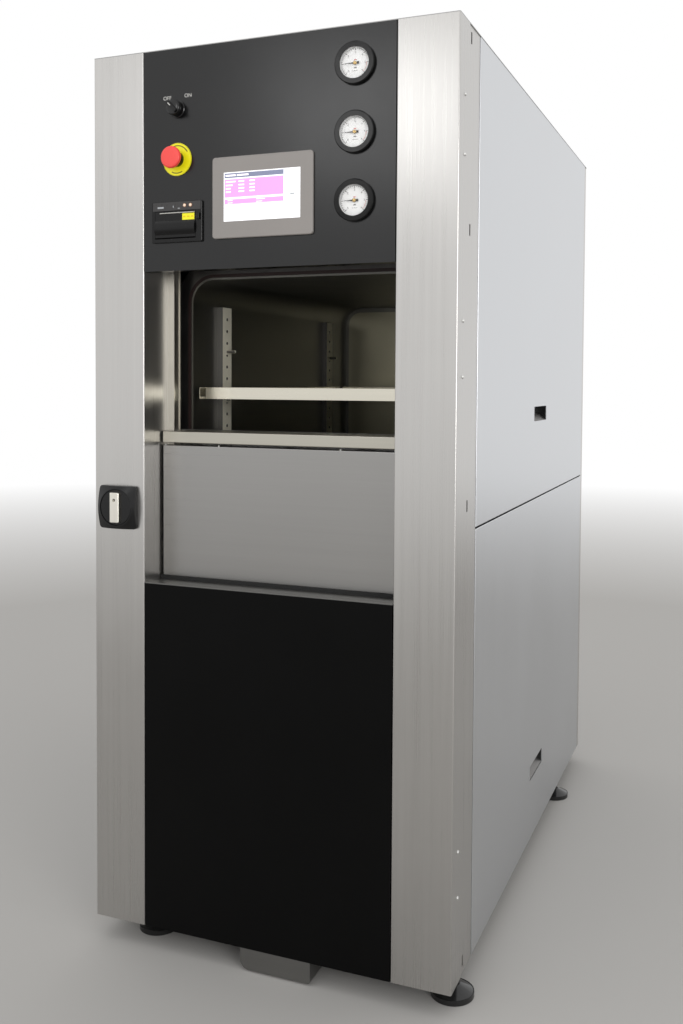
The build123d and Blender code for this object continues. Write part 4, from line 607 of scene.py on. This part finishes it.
def on_screen(u0, u1, v0, v1, mat, lift):
    """A rectangle on the display, in fractions of its width and height from the lower left."""
    x0, x1, z0, z1 = SCREEN
    w, h = x1 - x0, z1 - z0
    return (*rect(x0 + u0 * w, x0 + u1 * w, z0 + v0 * h, z0 + v1 * h, LAYER - lift * PRINT), mat)


def text_bar(u0, u1, v, half):
    """A pale bar in place of a word."""
    return on_screen(u0, u1, v - half, v + half, display_text, 2)


layout = [on_screen(*field) for field in FIELDS]
for v, first in TABLE_ROWS:
    layout += [text_bar(*ends, v, TABLE_HALF) for ends in ((TABLE_FIRST, first), *TABLE_COLUMNS)]
for v, last in STRIP_ROWS:
    layout += [text_bar(*ends, v, STRIP_HALF) for ends in (STRIP_FIRST, (STRIP_LAST, last))]
piece("screen_layout", layout, "cabinet")

# %% [markdown]
# ## Stage, light and camera
#
# A floor whose grey round the cabinet is painted shade, fading out to white further away, a white surround, two soft
# lamps, and a camera fitted to the cabinet's corners in the photograph.

# %% Floor and surround
FLOOR_HALF = 15.0
# The grey round the cabinet is painted shade, and it fades to white with distance from the middle.
FLOOR_PAINTED_SHADE, FLOOR_FAR = (0.42, 0.41, 0.395), (1.0, 1.0, 1.0)
FLOOR_FADE = (3.0, 9.0)         # where the near colour ends and the far one begins
corners = [(x * FLOOR_HALF, y * FLOOR_HALF, 0) for x, y in ((-1, -1), (1, -1), (1, 1), (-1, 1))]
floor_mesh = bpy.data.meshes.new("floor")
floor_mesh.from_pydata(corners, [], [(0, 1, 2, 3)])
floor_paint, floor_shader = finish("floor_with_painted_shade", FLOOR_PAINTED_SHADE, PLAIN, 1.0, Specular_IOR_Level=0.0)
floor_mesh.materials.append(floor_paint)
floor_coords = add_node(floor_paint, "ShaderNodeTexCoord")
distance = add_node(floor_paint, "ShaderNodeVectorMath", {0: floor_coords.outputs["Object"]}, operation="LENGTH")
fade = remap(floor_paint, distance.outputs["Value"], FLOOR_FADE)
tinted(floor_paint, floor_shader, fade, FLOOR_PAINTED_SHADE, FLOOR_FAR)
floor = link(bpy.data.objects.new("floor", floor_mesh))

world = bpy.data.worlds.new("surround")
bpy.context.scene.world = world
world.use_nodes = True
world.node_tree.nodes.clear()
white = add_node(world, "ShaderNodeBackground", {"Color": (1.0, 1.0, 1.0, 1.0), "Strength": 1.0})
add_node(world, "ShaderNodeOutputWorld", {"Surface": white.outputs[0]})

# %% Lamps
LAMPS = (       # name, place, target, width and height, watts, colour
    ("front", (3.2, -3.4, 1.5), (0.0, -0.6, 1.0), (1.8, 1.8), 55.0, (1.0, 0.995, 0.985)),
    ("upper", (-0.95, -3.7, 2.4), (0.0, -0.6, 1.5), (0.9, 0.6), 4.6, (1.0, 1.0, 1.0)),
)


def area_light(name, place, target, size, power, colour):
    """A large soft light that faces a point."""
    data = bpy.data.lights.new(name, "AREA")
    data.shape = "RECTANGLE"
    data.size, data.size_y = size
    data.energy = power
    data.color = colour
    aim = (Vector(target) - Vector(place)).to_track_quat("-Z", "Y").to_matrix().to_4x4()
    lamp = bpy.data.objects.new(name, data)
    lamp.matrix_world = Matrix.Translation(Vector(place)) @ aim
    link(lamp)


for lamp_values in LAMPS:
    area_light(*lamp_values)

# %% Camera
YAW, PITCH, ROLL = 0.3828992, 0.0379965, 0.0056693
CAMERA_PLACE = (0.827854, FRONT_Y - 1.676677, 1.045923 + BASE_Z)
SENSOR_MM, LENS_MM = 36.0, 36.43
LENS_SHIFT = -0.08776
forward = Vector((-math.sin(YAW) * math.cos(PITCH), math.cos(YAW) * math.cos(PITCH), -math.sin(PITCH)))
level = Vector((math.cos(YAW), math.sin(YAW), 0.0))
upright = level.cross(forward)
right = level * math.cos(ROLL) + upright * math.sin(ROLL)
above = upright * math.cos(ROLL) - level * math.sin(ROLL)
turn = Matrix((right, above, -forward)).transposed().to_4x4()
lens = bpy.data.cameras.new("camera")
lens.sensor_width = SENSOR_MM
lens.lens = LENS_MM
lens.shift_y = LENS_SHIFT
camera = bpy.data.objects.new("camera", lens)
camera.matrix_world = Matrix.Translation(Vector(CAMERA_PLACE)) @ turn
link(camera)
bpy.context.scene.camera = camera
bpy.context.scene.view_settings.view_transform = "Standard"
